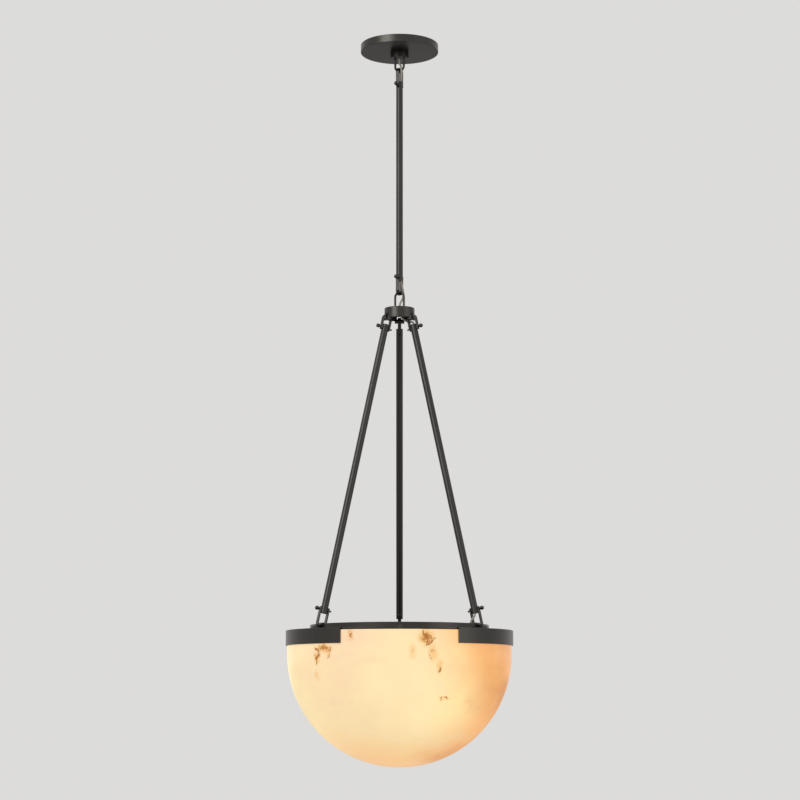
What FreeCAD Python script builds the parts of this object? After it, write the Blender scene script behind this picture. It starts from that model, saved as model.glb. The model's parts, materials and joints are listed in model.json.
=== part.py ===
"""Alabaster bowl pendant: canopy, hook-and-shackle links, stem, hub, three rods, crown, bowl and lamps.

Millimetres, +Z up. The origin is the centre of the ceiling plane that the canopy closes against, and
everything hangs below it. Three frames are used: the room, the link frame (the room turned by link_yaw,
so that its X lies in the plane of the two hanging loops), and one leg frame per rod (origin on the hub's
hook bar, X outwards, -Z down the rod).
"""
import FreeCAD, Part
import math
import os
import re

import Sketcher

Vector = FreeCAD.Vector

# --------------------------------------------------------------------------------------------------
# Driving dimensions (millimetres and degrees)
# --------------------------------------------------------------------------------------------------
SIZES = {
    # canopy and its hanger
    "canopy_diameter": 162, "canopy_height": 16, "canopy_wall": 1.6, "canopy_chamfer": 0.8,
    "crossbar_length": 104, "crossbar_width": 20, "crossbar_thickness": 2.5,
    "slot_spacing": 79.5, "slot_length": 14.5, "slot_width": 4.8,
    "nipple_diameter": 10, "nipple_bore": 7.4, "nipple_setback": 1, "nipple_engagement": 9,
    "thread_clearance": 0.05, "hole_clearance": 0.3,
    "nut_flats": 14, "nut_height": 3.5,
    "ground_screw_diameter": 4, "ground_screw_head": 7.6, "ground_screw_head_height": 2.6,
    "ground_screw_place": 18,
    "collar_diameter": 38, "collar_height": 13, "collar_chamfer": 0.8, "collar_mouth": 6.5,
    # loops of round bar
    "loop_bar": 4.5, "loop_gap": 15.2, "loop_socket": 5,
    "canopy_loop_reach": 24, "hub_loop_reach": 31.5,
    # shackles and bails of flat strap, and their pins
    "strap_gap": 15, "strap_thickness": 3, "strap_width": 7, "strap_tip": 5.5, "strap_round": 2.6,
    "shackle_reach": 34, "bail_reach": 27, "foot_reach": 35.5,
    "pin_diameter": 3.4, "pin_clearance": 0.05, "pin_tail": 5,
    "knob_diameter": 8.4, "knob_neck": 1.9, "knob_neck_diameter": 5.4,
    # tubes and their end plugs
    "tube_diameter": 14, "tube_wall": 1, "tube_overhang": 7,
    "plug_length": 16, "plug_clearance": 0.05, "plug_recess": 0.6,
    "stem_span": 409.5, "rod_span": 594,
    # hub
    "hub_diameter": 62, "hub_height": 22, "hub_wall": 4, "hub_roof": 7, "hub_chamfer": 0.8,
    "grommet_flange": 9, "grommet_flange_height": 1.2, "grommet_body": 6.4,
    # hook bars shared by hub and crown, and the notches they bridge
    "hook_bar": 9, "hook_bar_length": 20, "notch_clearance": 1.9, "notch_side": 1.7,
    "seat_gap": 0.3, "hook_gap": 0.5,
    # crown
    "crown_inset": 48.6, "crown_height": 11.3, "crown_wall": 6, "crown_roof": 3,
    "crown_chamfer": 0.8, "hook_bar_inset": 1.3, "hook_bar_proud": 1.75,
    "disc_screw_diameter": 4, "disc_screw_length": 9, "disc_screw_head": 7.2,
    "disc_screw_head_height": 2.4,
    # rim plate with its three skirts
    "plate_thickness": 3, "plate_lip": 2, "plate_margin": 1.5,
    "skirt_diameter": 457.2, "skirt_wall": 2.7, "skirt_depth": 30.2, "skirt_span": 60,
    "skirt_chamfer": 0.8, "gasket_thickness": 1.2, "gasket_margin": 0.8,
    # bowl
    "bowl_fit": 0.4, "bowl_wall": 11, "bowl_straight": 41.3, "bowl_edge": 1.5,
    # brackets that hold the bowl
    "bolt_gap": 0.5, "bracket_width": 24, "bracket_thickness": 4, "bracket_toe": 10,
    "bracket_leg": 24, "bracket_standoff": 2.5,
    "dowel_diameter": 6, "dowel_engagement": 6.5, "dowel_drop": 17,
    "cap_bolt_diameter": 5, "cap_bolt_head": 10, "cap_bolt_head_height": 6.5,
    # lamps
    "lamp_stem_length": 58, "lamp_stem_proud": 6,
    "cluster_diameter": 56, "cluster_height": 28, "cluster_wall": 6, "cluster_chamfer": 2,
    "cluster_lead_radius": 16, "cover_thickness": 2.5, "cover_lip": 4,
    "lamp_tilt": 30, "lamp_yaw": 290, "socket_standoff": 44, "arm_engagement": 9,
    "socket_diameter": 36, "socket_length": 37, "socket_bore": 26.8, "socket_floor": 10,
    "socket_chamfer": 3, "contact_diameter": 9, "cap_taper": 5,
    "cap_diameter": 26, "cap_length": 27, "bulb_diameter": 60, "bulb_length": 105, "glass_wall": 1,
    # supply lead
    "lead_diameter": 4, "lead_offset": 3.85, "lead_clearance": 0.25, "lead_straight": 27,
    "lead_grommet_inset": 11, "lead_grommet_side": 11,
    # headings
    "link_yaw": -25.6, "back_leg_azimuth": 90,
}

# Places and sizes that follow from the driving dimensions
PLACES = {
    "crown_diameter": "skirt_diameter - 2 * crown_inset",
    "collar_top": "-canopy_height",
    "collar_bottom": "collar_top - collar_height",
    "nipple_bottom": "collar_top - nipple_engagement",
    "loop_radius": "(loop_gap + loop_bar) / 2",
    "loop_rise": "loop_gap / 2 - sqrt(pow(loop_gap / 2; 2) - pow(strap_width / 2; 2))",
    "canopy_loop_inner": "collar_bottom - canopy_loop_reach",
    "upper_apex": "canopy_loop_inner + loop_rise + seat_gap",
    "upper_pin_height": "upper_apex - shackle_reach",
    "stem_top": "upper_pin_height + tube_overhang",
    "lower_pin_height": "upper_pin_height - stem_span",
    "stem_bottom": "lower_pin_height - tube_overhang",
    "lower_apex": "lower_pin_height - shackle_reach",
    "hub_loop_inner": "lower_apex + loop_rise + seat_gap",
    "hub_top": "hub_loop_inner - hub_loop_reach",
    "hub_bottom": "hub_top - hub_height",
    "hub_hook_radius": "(hub_diameter - hub_wall) / 2",
    "leg_upper": "bail_reach - seat_gap - hook_bar / 2",
    "leg_lower": "foot_reach - hook_gap - hook_bar / 2",
    "leg_length": "leg_upper + rod_span + leg_lower",
    "crown_hook_radius": "crown_diameter / 2 - hook_bar_inset",
    "leg_lean": "asin((crown_hook_radius - hub_hook_radius) / leg_length) / 1deg",
    "lean_sine": "sin(leg_lean * 1deg)",
    "lean_cosine": "cos(leg_lean * 1deg)",
    "bend_radius": "strap_gap / 2 + strap_thickness + notch_clearance",
    "upper_bend": "leg_upper - bail_reach + strap_gap / 2",
    "lower_bend": "leg_lower - foot_reach + strap_gap / 2",
    "notch_width": "strap_width + 2 * notch_side",
    "crown_hook_height": "hub_bottom - leg_length * lean_cosine",
    "crown_top": "crown_hook_height + hook_bar / 2 - hook_bar_proud",
    "crown_bottom": "crown_top - crown_height",
    "plate_bottom": "crown_bottom - plate_thickness",
    "bowl_top": "plate_bottom - gasket_thickness",
    "bowl_radius": "skirt_diameter / 2 - skirt_wall - bowl_fit",
    "bowl_inner": "bowl_radius - bowl_wall",
    "bowl_centre": "bowl_top - bowl_straight",
    "plate_radius": "bowl_radius - plate_margin",
    "plate_bore": "crown_diameter - 2 * (crown_wall + plate_lip)",
    "lead_grommet_radius": "crown_diameter / 2 - lead_grommet_inset",
    "screw_circle": "(crown_diameter - crown_wall) / 2",
    "bracket_outer": "bowl_inner - bracket_standoff",
    "bracket_circle": "2 * (crown_hook_radius + strap_half + bolt_gap) + cap_bolt_head",
    "tube_bore": "tube_diameter - 2 * tube_wall",
    "pin_hole": "pin_diameter / 2 + pin_clearance",
    "strap_half": "strap_gap / 2 + strap_thickness",
    "lamp_stem_top": "crown_top + lamp_stem_proud",
    "cluster_top": "lamp_stem_top - lamp_stem_length + cluster_wall",
    "lamp_centre": "cluster_top - cluster_height / 2"
                   " + (cluster_diameter - cluster_wall) / 2 * tan(lamp_tilt * 1deg)",
    "lead_hole": "lead_diameter / 2 + lead_clearance",
    "bulb_offset": "bulb_length - cap_length - bulb_diameter / 2",
    "neck_reach": "sqrt(pow(bulb_offset; 2) + pow(cap_diameter / 2; 2))",
    "bulb_tangent": "(atan(cap_diameter / 2 / bulb_offset) + acos(bulb_diameter / 2 / neck_reach)) / 1deg",
}

LEGS = {"back": 0, "left": 120, "right": 240}   # turn of each leg from back_leg_azimuth

doc = FreeCAD.newDocument("alabaster_bowl_pendant")


def fill_sheet(name, rows, prefix):
    """Write one aliased row per value, and return the sheet."""
    sheet = doc.addObject("Spreadsheet::Sheet", name)
    for number, (alias, content) in enumerate(rows.items(), start=1):
        sheet.set("A%d" % number, alias)
        sheet.set("B%d" % number, prefix + str(content))
        sheet.setAlias("B%d" % number, alias)
    return sheet


def cells(text):
    """Turn bare size names in an expression into references to their sheet."""
    def refer(match):
        word = match.group(0)
        if word in SIZES:
            return "Sizes." + word
        return "Places." + word if word in PLACES else word
    return re.sub(r"[a-z_]+", refer, str(text))


sizes = fill_sheet("Sizes", SIZES, "")
places = fill_sheet("Places", {alias: cells(text) for alias, text in PLACES.items()}, "=")
doc.recompute()


def value(text):
    """The number that an expression gives with the sheets as they are."""
    return float(sizes.evalExpression(cells(text)))


def bind(thing, **properties):
    """Bind properties of a document object to expressions of sheet values."""
    for name, text in properties.items():
        thing.setExpression(name, cells(text))
    return thing


def place(thing, position=("0", "0", "0"), turn=("0", "0", "0")):
    """Bind a Placement: position by X, Y, Z and turn by yaw, pitch, roll in degrees."""
    thing.setExpression("Placement", cells("placement(vector(%s);rotation(%s))"
                                           % (";".join(position), ";".join(turn))))
    return thing


# --------------------------------------------------------------------------------------------------
# Sketches and features
# --------------------------------------------------------------------------------------------------
def sketch_on(body, role):
    """A sketch attached to one of the body's own origin planes."""
    plane = [face for face in body.Origin.OriginFeatures if face.Role == role][0]
    sketch = body.newObject("Sketcher::SketchObject", body.Label + "_sketch")
    sketch.AttachmentSupport = [(plane, "")]
    sketch.MapMode = "FlatFace"
    return sketch


def fix(sketch, axis, geometry, point, text):
    """Hold one coordinate of a sketch point at an expression."""
    kind = "Distance" + axis
    index = sketch.addConstraint(Sketcher.Constraint(kind, -1, 1, geometry, point, value(text)))
    name = "%s%d_%d" % (axis.lower(), geometry, point)
    sketch.renameConstraint(index, name)
    sketch.setExpression("Constraints." + name, cells(text))


def outline(body, role, corners):
    """A closed outline. Each corner is (x, y), or (x, y, cx, cy, turn) where an arc about (cx, cy) leads
    on to the next corner, turn being 1 for anticlockwise and -1 for clockwise."""
    sketch = sketch_on(body, role)
    count = len(corners)
    points = [Vector(value(corner[0]), value(corner[1]), 0) for corner in corners]
    for index, corner in enumerate(corners):
        start, end = points[index], points[(index + 1) % count]
        if len(corner) == 2:
            sketch.addGeometry(Part.LineSegment(start, end), False)
            continue
        centre = Vector(value(corner[2]), value(corner[3]), 0)
        first = start if corner[4] > 0 else end
        last = end if corner[4] > 0 else start
        angles = [math.atan2(p.y - centre.y, p.x - centre.x) for p in (first, last)]
        circle = Part.Circle(centre, Vector(0, 0, 1), (start - centre).Length)
        sketch.addGeometry(Part.ArcOfCircle(circle, angles[0], angles[1]), False)
    for index, corner in enumerate(corners):
        start_point = 2 if len(corner) > 2 and corner[4] < 0 else 1
        before = corners[index - 1]
        end_of_before = 1 if len(before) > 2 and before[4] < 0 else 2
        sketch.addConstraint(Sketcher.Constraint(
            "Coincident", (index - 1) % count, end_of_before, index, start_point))
        held = ["X", "Y"]
        if len(before) > 2:
            reach = points[index] - Vector(value(before[2]), value(before[3]), 0)
            held = ["X"] if abs(reach.y) > abs(reach.x) else ["Y"]
        for axis in held:
            fix(sketch, axis, index, start_point, corner[0] if axis == "X" else corner[1])
        if len(corner) > 2:
            fix(sketch, "X", index, 3, corner[2])
            fix(sketch, "Y", index, 3, corner[3])
    return sketch


def circles(body, role, spots):
    """A sketch of circles, each (x, y, radius)."""
    sketch = sketch_on(body, role)
    for index, (across, up, radius) in enumerate(spots):
        centre = Vector(value(across), value(up), 0)
        sketch.addGeometry(Part.Circle(centre, Vector(0, 0, 1), value(radius)), False)
        fix(sketch, "X", index, 3, across)
        fix(sketch, "Y", index, 3, up)
        held = sketch.addConstraint(Sketcher.Constraint("Radius", index, value(radius)))
        sketch.renameConstraint(held, "radius%d" % index)
        sketch.setExpression("Constraints.radius%d" % index, cells(radius))
    return sketch


def new_body(name):
    """An empty PartDesign body labelled with the piece's name."""
    body = doc.addObject("PartDesign::Body", name)
    body.Label = name
    return body


def revolve(body, corners, angle="360", cut=False):
    """Turn an outline of (radius, height) corners about the body's Z axis, or cut it away."""
    sketch = outline(body, "XZ_Plane", corners)
    kind = "PartDesign::Groove" if cut else "PartDesign::Revolution"
    feature = body.newObject(kind, body.Label + "_turn")
    feature.Profile = sketch
    feature.ReferenceAxis = (sketch, ["V_Axis"])
    feature.Midplane = True
    feature.setExpression("Angle", cells(angle))
    doc.recompute()
    return feature


def pad(body, sketch, length):
    """Pad a sketch half to each side of its plane."""
    feature = body.newObject("PartDesign::Pad", body.Label + "_pad")
    feature.Profile = sketch
    feature.SideType = "Symmetric"
    feature.setExpression("Length", cells(length))
    doc.recompute()
    return feature


def pocket(body, sketch, length):
    """Cut a sketch half to each side of its plane."""
    before = body.Shape.Volume
    feature = body.newObject("PartDesign::Pocket", body.Label + "_pocket")
    feature.Profile = sketch
    feature.SideType = "Symmetric"
    feature.setExpression("Length", cells(length))
    doc.recompute()
    if body.Shape.Volume >= before:
        raise RuntimeError(body.Label + ": a pocket cut nothing")
    return feature


def around(body, feature, count):
    """Repeat a feature evenly about the body's Z axis."""
    pattern = body.newObject("PartDesign::PolarPattern", body.Label + "_around")
    pattern.Originals = [feature]
    axis = [line for line in body.Origin.OriginFeatures if line.Role == "Z_Axis"][0]
    pattern.Axis = (axis, [""])
    pattern.Angle = 360
    pattern.Occurrences = count
    body.Tip = pattern
    doc.recompute()
    return pattern


def round_edges(body, radius, chosen):
    """Fillet the edges of the body's last feature that the test picks."""
    tip = body.Tip
    names = ["Edge%d" % (index + 1) for index, edge in enumerate(tip.Shape.Edges) if chosen(edge)]
    feature = body.newObject("PartDesign::Fillet", body.Label + "_round")
    feature.Base = (tip, names)
    feature.setExpression("Radius", cells(radius))
    doc.recompute()
    return feature


def cylinder(name, radius, height, position=("0", "0", "0"), turn=("0", "0", "0")):
    """A Part cylinder with bound sizes and placement."""
    solid = doc.addObject("Part::Cylinder", name)
    return place(bind(solid, Radius=radius, Height=height), position, turn)


def block(name, length, width, height, position=("0", "0", "0"), turn=("0", "0", "0")):
    """A Part box with bound sizes and placement."""
    solid = doc.addObject("Part::Box", name)
    return place(bind(solid, Length=length, Width=width, Height=height), position, turn)


def hexagon(name, flats, height, position):
    """A hexagonal prism standing on its position."""
    solid = doc.addObject("Part::Prism", name)
    solid.Polygon = 6
    return place(bind(solid, Circumradius="%s / sqrt(3)" % flats, Height=height), position)


def fuse(name, shapes):
    """The union of several solids."""
    joined = doc.addObject("Part::MultiFuse", name)
    joined.Shapes = shapes
    joined.Refine = True
    return joined


def cut(name, base, tool):
    """A solid less another."""
    left = doc.addObject("Part::Cut", name)
    left.Base, left.Tool, left.Refine = base, tool, True
    return left


def group(name, members):
    """Several identical pieces that share one node."""
    compound = doc.addObject("Part::Compound", name)
    compound.Links = members
    return compound


pieces = []


def keep(piece, label):
    """Label a finished piece and list it for export."""
    piece.Label = label
    pieces.append(piece)
    return piece


# --------------------------------------------------------------------------------------------------
# Pieces that repeat
# --------------------------------------------------------------------------------------------------
def strap_loop(name, reach):
    """A flat strap bent to a U: pin axis along X through the origin, bend above at +reach."""
    body = new_body(name)
    centre = "%s - strap_gap / 2" % reach
    inner, outer = "strap_gap / 2", "strap_half"
    pad(body, outline(body, "XZ_Plane", [
        (outer, "-strap_tip"), (outer, centre, "0", centre, 1),
        ("-strap_half", centre), ("-strap_half", "-strap_tip"),
        ("-strap_gap / 2", "-strap_tip"), ("-strap_gap / 2", centre, "0", centre, -1),
        (inner, centre), (inner, "-strap_tip")]), "strap_width")
    pocket(body, circles(body, "YZ_Plane", [("0", "0", "pin_hole")]), "4 * strap_half")
    tip, half = -value("strap_tip"), value("strap_width / 2")

    def corner(edge):
        middle = edge.CenterOfMass
        return abs(middle.z - tip) < 0.01 and abs(abs(middle.y) - half) < 0.01
    round_edges(body, "strap_round", corner)
    return body


def shackle_pin(name):
    """A turned pin along Z: ball knob above, shank through both legs of the strap, tail below."""
    body = new_body(name)
    shank, neck = "pin_diameter / 2", "knob_neck_diameter / 2"
    ball = "strap_half + knob_neck + knob_diameter / 2"
    start = "strap_half + knob_neck"
    end = "strap_half + knob_neck + knob_diameter"
    revolve(body, [
        ("0", "-strap_half - pin_tail"), (shank, "-strap_half - pin_tail"), (shank, "strap_half"),
        (neck, "strap_half"), (neck, start + " + knob_diameter * 0.1"),
        ("knob_diameter / 2 * 0.8", start + " + knob_diameter * 0.2", "0", ball, 1),
        ("0", end)])
    return body


def round_loop(name, reach, sign):
    """A U of round bar in the XZ plane: bend at the far end, legs back to the face at Z = 0 and into
    their sockets. sign is -1 for a loop that hangs and 1 for one that stands."""
    centre = "%s - loop_gap / 2" % reach
    bend = bind(doc.addObject("Part::Torus", name + "_bend"),
                Radius1="loop_radius", Radius2="loop_bar / 2")
    bend.Angle3 = 180
    place(bend, ("0", "0", "%d * (%s)" % (sign, centre)), ("0", "0", str(90 * sign)))
    legs = []
    for side in (-1, 1):
        low = "-loop_socket" if sign > 0 else "-(%s)" % centre
        legs.append(cylinder("%s_leg" % name, "loop_bar / 2", "%s + loop_socket" % centre,
                             ("%d * loop_radius" % side, "0", low)))
    return fuse(name, [bend] + legs)


def tube(name, span):
    """A round tube hanging from its upper pin at the origin; both cross holes run along X."""
    body = new_body(name)
    outer, inner = "tube_diameter / 2", "tube_bore / 2"
    top, bottom = "tube_overhang", "-%s - tube_overhang" % span
    revolve(body, [(inner, bottom), (outer, bottom), (outer, top), (inner, top)])
    pocket(body, circles(body, "YZ_Plane", [("0", "0", "pin_hole"), ("0", "-" + span, "pin_hole")]),
           "2 * tube_diameter")
    return body


def plug(name):
    """An end plug, pin axis along X through the origin, with a channel for the lead towards +Y."""
    body = new_body(name)
    radius = "tube_bore / 2 - plug_clearance"
    revolve(body, [("0", "tube_overhang - plug_recess - plug_length"),
                   (radius, "tube_overhang - plug_recess - plug_length"),
                   (radius, "tube_overhang - plug_recess"), ("0", "tube_overhang - plug_recess")])
    pocket(body, circles(body, "YZ_Plane", [("0", "0", "pin_hole")]), "2 * tube_diameter")
    channel = circles(body, "XY_Plane", [("0", "lead_offset", "lead_hole")])
    pocket(body, channel, "4 * plug_length")
    return body


def grommet(name, wall):
    """A flanged grommet round the lead, seated on Z = 0 and reaching down through a wall."""
    body = new_body(name)
    mouth, neck = "lead_hole", "grommet_body / 2"
    revolve(body, [
        (mouth, "-" + wall), (neck, "-" + wall), (neck, "0"), ("grommet_flange / 2", "0"),
        ("grommet_flange / 2", "grommet_flange_height / 2"),
        ("grommet_flange / 2 - grommet_flange_height / 2", "grommet_flange_height"),
        (mouth, "grommet_flange_height")])
    return body


def headed_screw(name, shank, length, head, head_height):
    """A screw along Z: shank from Z = 0 up to its length, domed head below."""
    body = new_body(name)
    edge = "%s / 2" % head
    side = "%s * 0.35" % head_height
    crown = "(%s - %s)" % (head_height, side)
    dome = "(pow(%s; 2) + pow(%s; 2)) / (2 * %s)" % (edge, crown, crown)
    revolve(body, [
        ("0", "-" + head_height, "0", "%s - %s" % (dome, head_height), 1), (edge, "-" + side),
        (edge, "0"), ("%s / 2" % shank, "0"), ("%s / 2" % shank, length), ("0", length)])
    return body


def hollow_nipple(name, bottom, top):
    """A threaded hollow nipple along Z."""
    body = new_body(name)
    bore, thread = "nipple_bore / 2", "nipple_diameter / 2"
    revolve(body, [(bore, bottom), (thread, bottom), (thread, top), (bore, top)])
    return body


def nipple_nut(name, bottom):
    """A hexagon nut for the hollow nipples, standing on a height."""
    blank = hexagon(name + "_blank", "nut_flats", "nut_height", ("0", "0", bottom))
    bore = cylinder(name + "_bore", "nipple_diameter / 2 + thread_clearance", "nut_height + 2",
                    ("0", "0", bottom + " - 1"))
    return cut(name, blank, bore)


def ring_spot(radius, turn):
    """X and Y at a radius and a turn from the back leg."""
    azimuth = "((back_leg_azimuth + %s) * 1deg)" % turn
    return "(%s) * cos(%s)" % (radius, azimuth), "(%s) * sin(%s)" % (radius, azimuth)


def in_leg(thing, leg, down, pitch="-leg_lean", roll="0"):
    """Place a piece in a leg's frame, down that leg from its hook bar on the hub."""
    across, along = ring_spot("hub_hook_radius + (%s) * lean_sine" % down, LEGS[leg])
    height = "hub_bottom - (%s) * lean_cosine" % down
    return place(thing, (across, along, height), ("back_leg_azimuth + %d" % LEGS[leg], pitch, roll))


def hook_bars(body, ring, height, bend_radius, bend_height):
    """Cut the three notches that the straps' bends pass through, and bridge each with its hook bar."""
    notch = pocket(body, circles(body, "XZ_Plane", [(bend_radius, bend_height, "bend_radius")]),
                   "notch_width")
    around(body, notch, len(LEGS))
    bar = pad(body, circles(body, "XZ_Plane", [(ring, height, "hook_bar / 2")]), "hook_bar_length")
    around(body, bar, len(LEGS))


# --------------------------------------------------------------------------------------------------
# Supply lead: straight runs and the largest tangent arcs between them
# --------------------------------------------------------------------------------------------------
ARC_SHARE = 0.45


def lead(name, route, yaw):
    """A lead along a route, each point (x, y, z) a number or an expression, in the frame turned by yaw."""
    points = [Vector(*(value(part) for part in point)) for point in route]
    edges, here, radii = [], points[0], []
    for before, corner, after in zip(points, points[1:], points[2:]):
        arrive, leave = corner - before, after - corner
        half_turn = arrive.getAngle(leave) / 2
        trim = ARC_SHARE * min(arrive.Length, leave.Length)
        start = corner - arrive.normalize() * trim
        end = corner + leave.normalize() * trim
        radii.append(trim / math.tan(half_turn))
        to_centre = (leave - arrive).normalize() * (radii[-1] / math.cos(half_turn))
        middle = corner + to_centre - to_centre.normalize() * radii[-1]
        edges.append(Part.LineSegment(here, start).toShape())
        edges.append(Part.Arc(start, middle, end).toShape())
        here = end
    edges.append(Part.LineSegment(here, points[-1]).toShape())
    spine = Part.Wire(edges)
    radius = value("lead_diameter / 2")
    section = Part.Wire(Part.makeCircle(radius, points[0], points[1] - points[0]))
    shell = spine.makePipeShell([section], True, False)
    expected = math.pi * radius ** 2 * spine.Length
    if abs(shell.Volume / expected - 1) > 0.002:
        raise RuntimeError("%s: volume is not its section times its length" % name)
    solid = doc.addObject("Part::Feature", name)
    solid.Shape = shell
    place(solid, turn=(yaw, "0", "0"))
    print("%s: length %.1f, arc radii %s" % (name, spine.Length, [round(r, 1) for r in radii]))
    return keep(solid, name)


# --------------------------------------------------------------------------------------------------
# Canopy and its hanger
# --------------------------------------------------------------------------------------------------
def canopy_pieces():
    """Canopy pan, crossbar, hollow nipple, locknut, collar and hanging loop."""
    pan = new_body("canopy")
    rim, skin = "canopy_diameter / 2", "canopy_wall"
    revolve(pan, [
        ("nipple_diameter / 2 + hole_clearance", "-canopy_height"),
        (rim + " - canopy_chamfer", "-canopy_height"), (rim, "canopy_chamfer - canopy_height"),
        (rim, "0"), (rim + " - canopy_wall", "0"), (rim + " - canopy_wall", "-canopy_height + " + skin),
        ("nipple_diameter / 2 + hole_clearance", "-canopy_height + " + skin)])
    keep(pan, "canopy")

    bar = block("crossbar_blank", "crossbar_length", "crossbar_width", "crossbar_thickness",
                ("-crossbar_length / 2", "-crossbar_width / 2", "-crossbar_thickness"))
    below = "-crossbar_thickness - 1"
    holes = [cylinder("crossbar_bore", "nipple_diameter / 2 + thread_clearance",
                      "crossbar_thickness + 2", ("0", "0", below)),
             cylinder("ground_screw_hole", "ground_screw_diameter / 2 + thread_clearance",
                      "crossbar_thickness + 2", ("ground_screw_place", "0", below))]
    for side in (-1, 1):
        middle = "%d * slot_spacing / 2" % side
        run = "(slot_length - slot_width)"
        holes.append(block("slot_middle", run, "slot_width", "crossbar_thickness + 2",
                           ("%s - %s / 2" % (middle, run), "-slot_width / 2", below)))
        for end in (-1, 1):
            holes.append(cylinder("slot_end", "slot_width / 2", "crossbar_thickness + 2",
                                  ("%s + %d * %s / 2" % (middle, end, run), "0", below)))
    keep(cut("ceiling_crossbar", bar, fuse("crossbar_holes", holes)), "ceiling_crossbar")

    keep(hollow_nipple("hanger_nipple", "nipple_bottom", "-nipple_setback"), "hanger_nipple")
    keep(nipple_nut("nipple_locknut", "-crossbar_thickness - nut_height"), "nipple_locknut")

    earth = headed_screw("ground_screw", "ground_screw_diameter", "crossbar_thickness",
                         "ground_screw_head", "ground_screw_head_height")
    keep(place(earth, ("ground_screw_place", "0", "-crossbar_thickness")), "ground_screw")

    collar = new_body("loop_collar")
    side = "collar_diameter / 2"
    tapped = "nipple_diameter / 2 + thread_clearance"
    revolve(collar, [
        ("collar_mouth / 2", "-collar_height"), (side + " - collar_chamfer", "-collar_height"),
        (side, "collar_chamfer - collar_height"), (side, "0"), (tapped, "0"),
        (tapped, "-nipple_engagement - seat_gap"), ("collar_mouth / 2", "-nipple_engagement - seat_gap")])
    sockets = circles(collar, "XY_Plane", [("%d * loop_radius" % way, "0",
                                            "loop_bar / 2 + thread_clearance") for way in (-1, 1)])
    sockets.setExpression("AttachmentOffset.Base.z", cells("-collar_height"))
    pocket(collar, sockets, "2 * (loop_socket + seat_gap)")
    place(collar, ("0", "0", "collar_top"), ("link_yaw", "0", "0"))
    keep(collar, "loop_collar")

    loop = round_loop("canopy_loop", "canopy_loop_reach", -1)
    place(loop, ("0", "0", "collar_bottom"), ("link_yaw", "0", "0"))
    keep(loop, "canopy_loop")


# --------------------------------------------------------------------------------------------------
# Links and stem
# --------------------------------------------------------------------------------------------------
def link_pieces():
    """Two shackles with pins, the stem tube between them and its plugs."""
    across = "link_yaw - 90"     # the pins lie along the link frame's Y, their knobs at its -Y end
    for end, height, roll in (("upper", "upper_pin_height", "0"), ("lower", "lower_pin_height", "180")):
        spot = ("0", "0", height)
        keep(place(strap_loop(end + "_shackle", "shackle_reach"), spot, (across, "0", roll)),
             end + "_shackle")
        keep(place(shackle_pin(end + "_pin"), spot, (across, "90", "0")), end + "_pin")

    stem = tube("stem_tube", "stem_span")
    keep(place(stem, ("0", "0", "upper_pin_height"), (across, "0", "0")), "stem_tube")
    plugs = [place(plug("stem_plug"), ("0", "0", "upper_pin_height"), (across, "0", "0")),
             place(plug("stem_plug"), ("0", "0", "lower_pin_height"), (across, "180", "0"))]
    keep(group("stem_plugs", plugs), "stem_plugs")


# --------------------------------------------------------------------------------------------------
# Hub with its loop, bails and pins
# --------------------------------------------------------------------------------------------------
def hub_pieces():
    """Hollow hub with three hook bars, its standing loop, lead grommet, bails and their pins."""
    cup = new_body("hub_cup")
    side, hollow = "hub_diameter / 2", "hub_diameter / 2 - hub_wall"
    revolve(cup, [
        ("grommet_body / 2 + thread_clearance", "0"), (side + " - hub_chamfer", "0"),
        (side, "-hub_chamfer"), (side, "hub_chamfer - hub_height"), (side + " - hub_chamfer", "-hub_height"),
        (hollow, "-hub_height"), (hollow, "-hub_roof"),
        ("grommet_body / 2 + thread_clearance", "-hub_roof")])
    hook_bars(cup, "hub_hook_radius", "-hub_height",
              "hub_hook_radius + upper_bend * lean_sine", "-hub_height - upper_bend * lean_cosine")
    turn = "(link_yaw - back_leg_azimuth)"
    sockets = circles(cup, "XY_Plane", [
        ("%d * loop_radius * cos(%s * 1deg)" % (way, turn), "%d * loop_radius * sin(%s * 1deg)" % (way, turn),
         "loop_bar / 2 + thread_clearance") for way in (-1, 1)])
    pocket(cup, sockets, "2 * (loop_socket + seat_gap)")
    keep(place(cup, ("0", "0", "hub_top"), ("back_leg_azimuth", "0", "0")), "hub_cup")

    keep(place(grommet("hub_grommet", "hub_roof"), ("0", "0", "hub_top")), "hub_grommet")

    loop = round_loop("hub_loop", "hub_loop_reach", 1)
    keep(place(loop, ("0", "0", "hub_top"), ("link_yaw", "0", "0")), "hub_loop")

    for leg in LEGS:
        keep(in_leg(strap_loop(leg + "_bail", "bail_reach"), leg, "leg_upper"), leg + "_bail")
    pins = [in_leg(shackle_pin(leg + "_bail_pin"), leg, "leg_upper", "90 - leg_lean") for leg in LEGS]
    keep(group("bail_pins", pins), "bail_pins")


# --------------------------------------------------------------------------------------------------
# Rods and their feet
# --------------------------------------------------------------------------------------------------
def leg_pieces():
    """For each leg: the rod with its plugs, and the foot shackle with its pin."""
    foot = "leg_upper + rod_span"
    for leg in LEGS:
        keep(in_leg(tube(leg + "_rod", "rod_span"), leg, "leg_upper"), leg + "_rod")
        plugs = [in_leg(plug(leg + "_rod_plug"), leg, "leg_upper"),
                 in_leg(plug(leg + "_rod_plug"), leg, foot, roll="180")]
        keep(group(leg + "_rod_plugs", plugs), leg + "_rod_plugs")
        keep(in_leg(strap_loop(leg + "_foot_shackle", "foot_reach"), leg, foot, roll="180"),
             leg + "_foot_shackle")
        keep(in_leg(shackle_pin(leg + "_foot_pin"), leg, foot, "90 - leg_lean"), leg + "_foot_pin")


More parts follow.
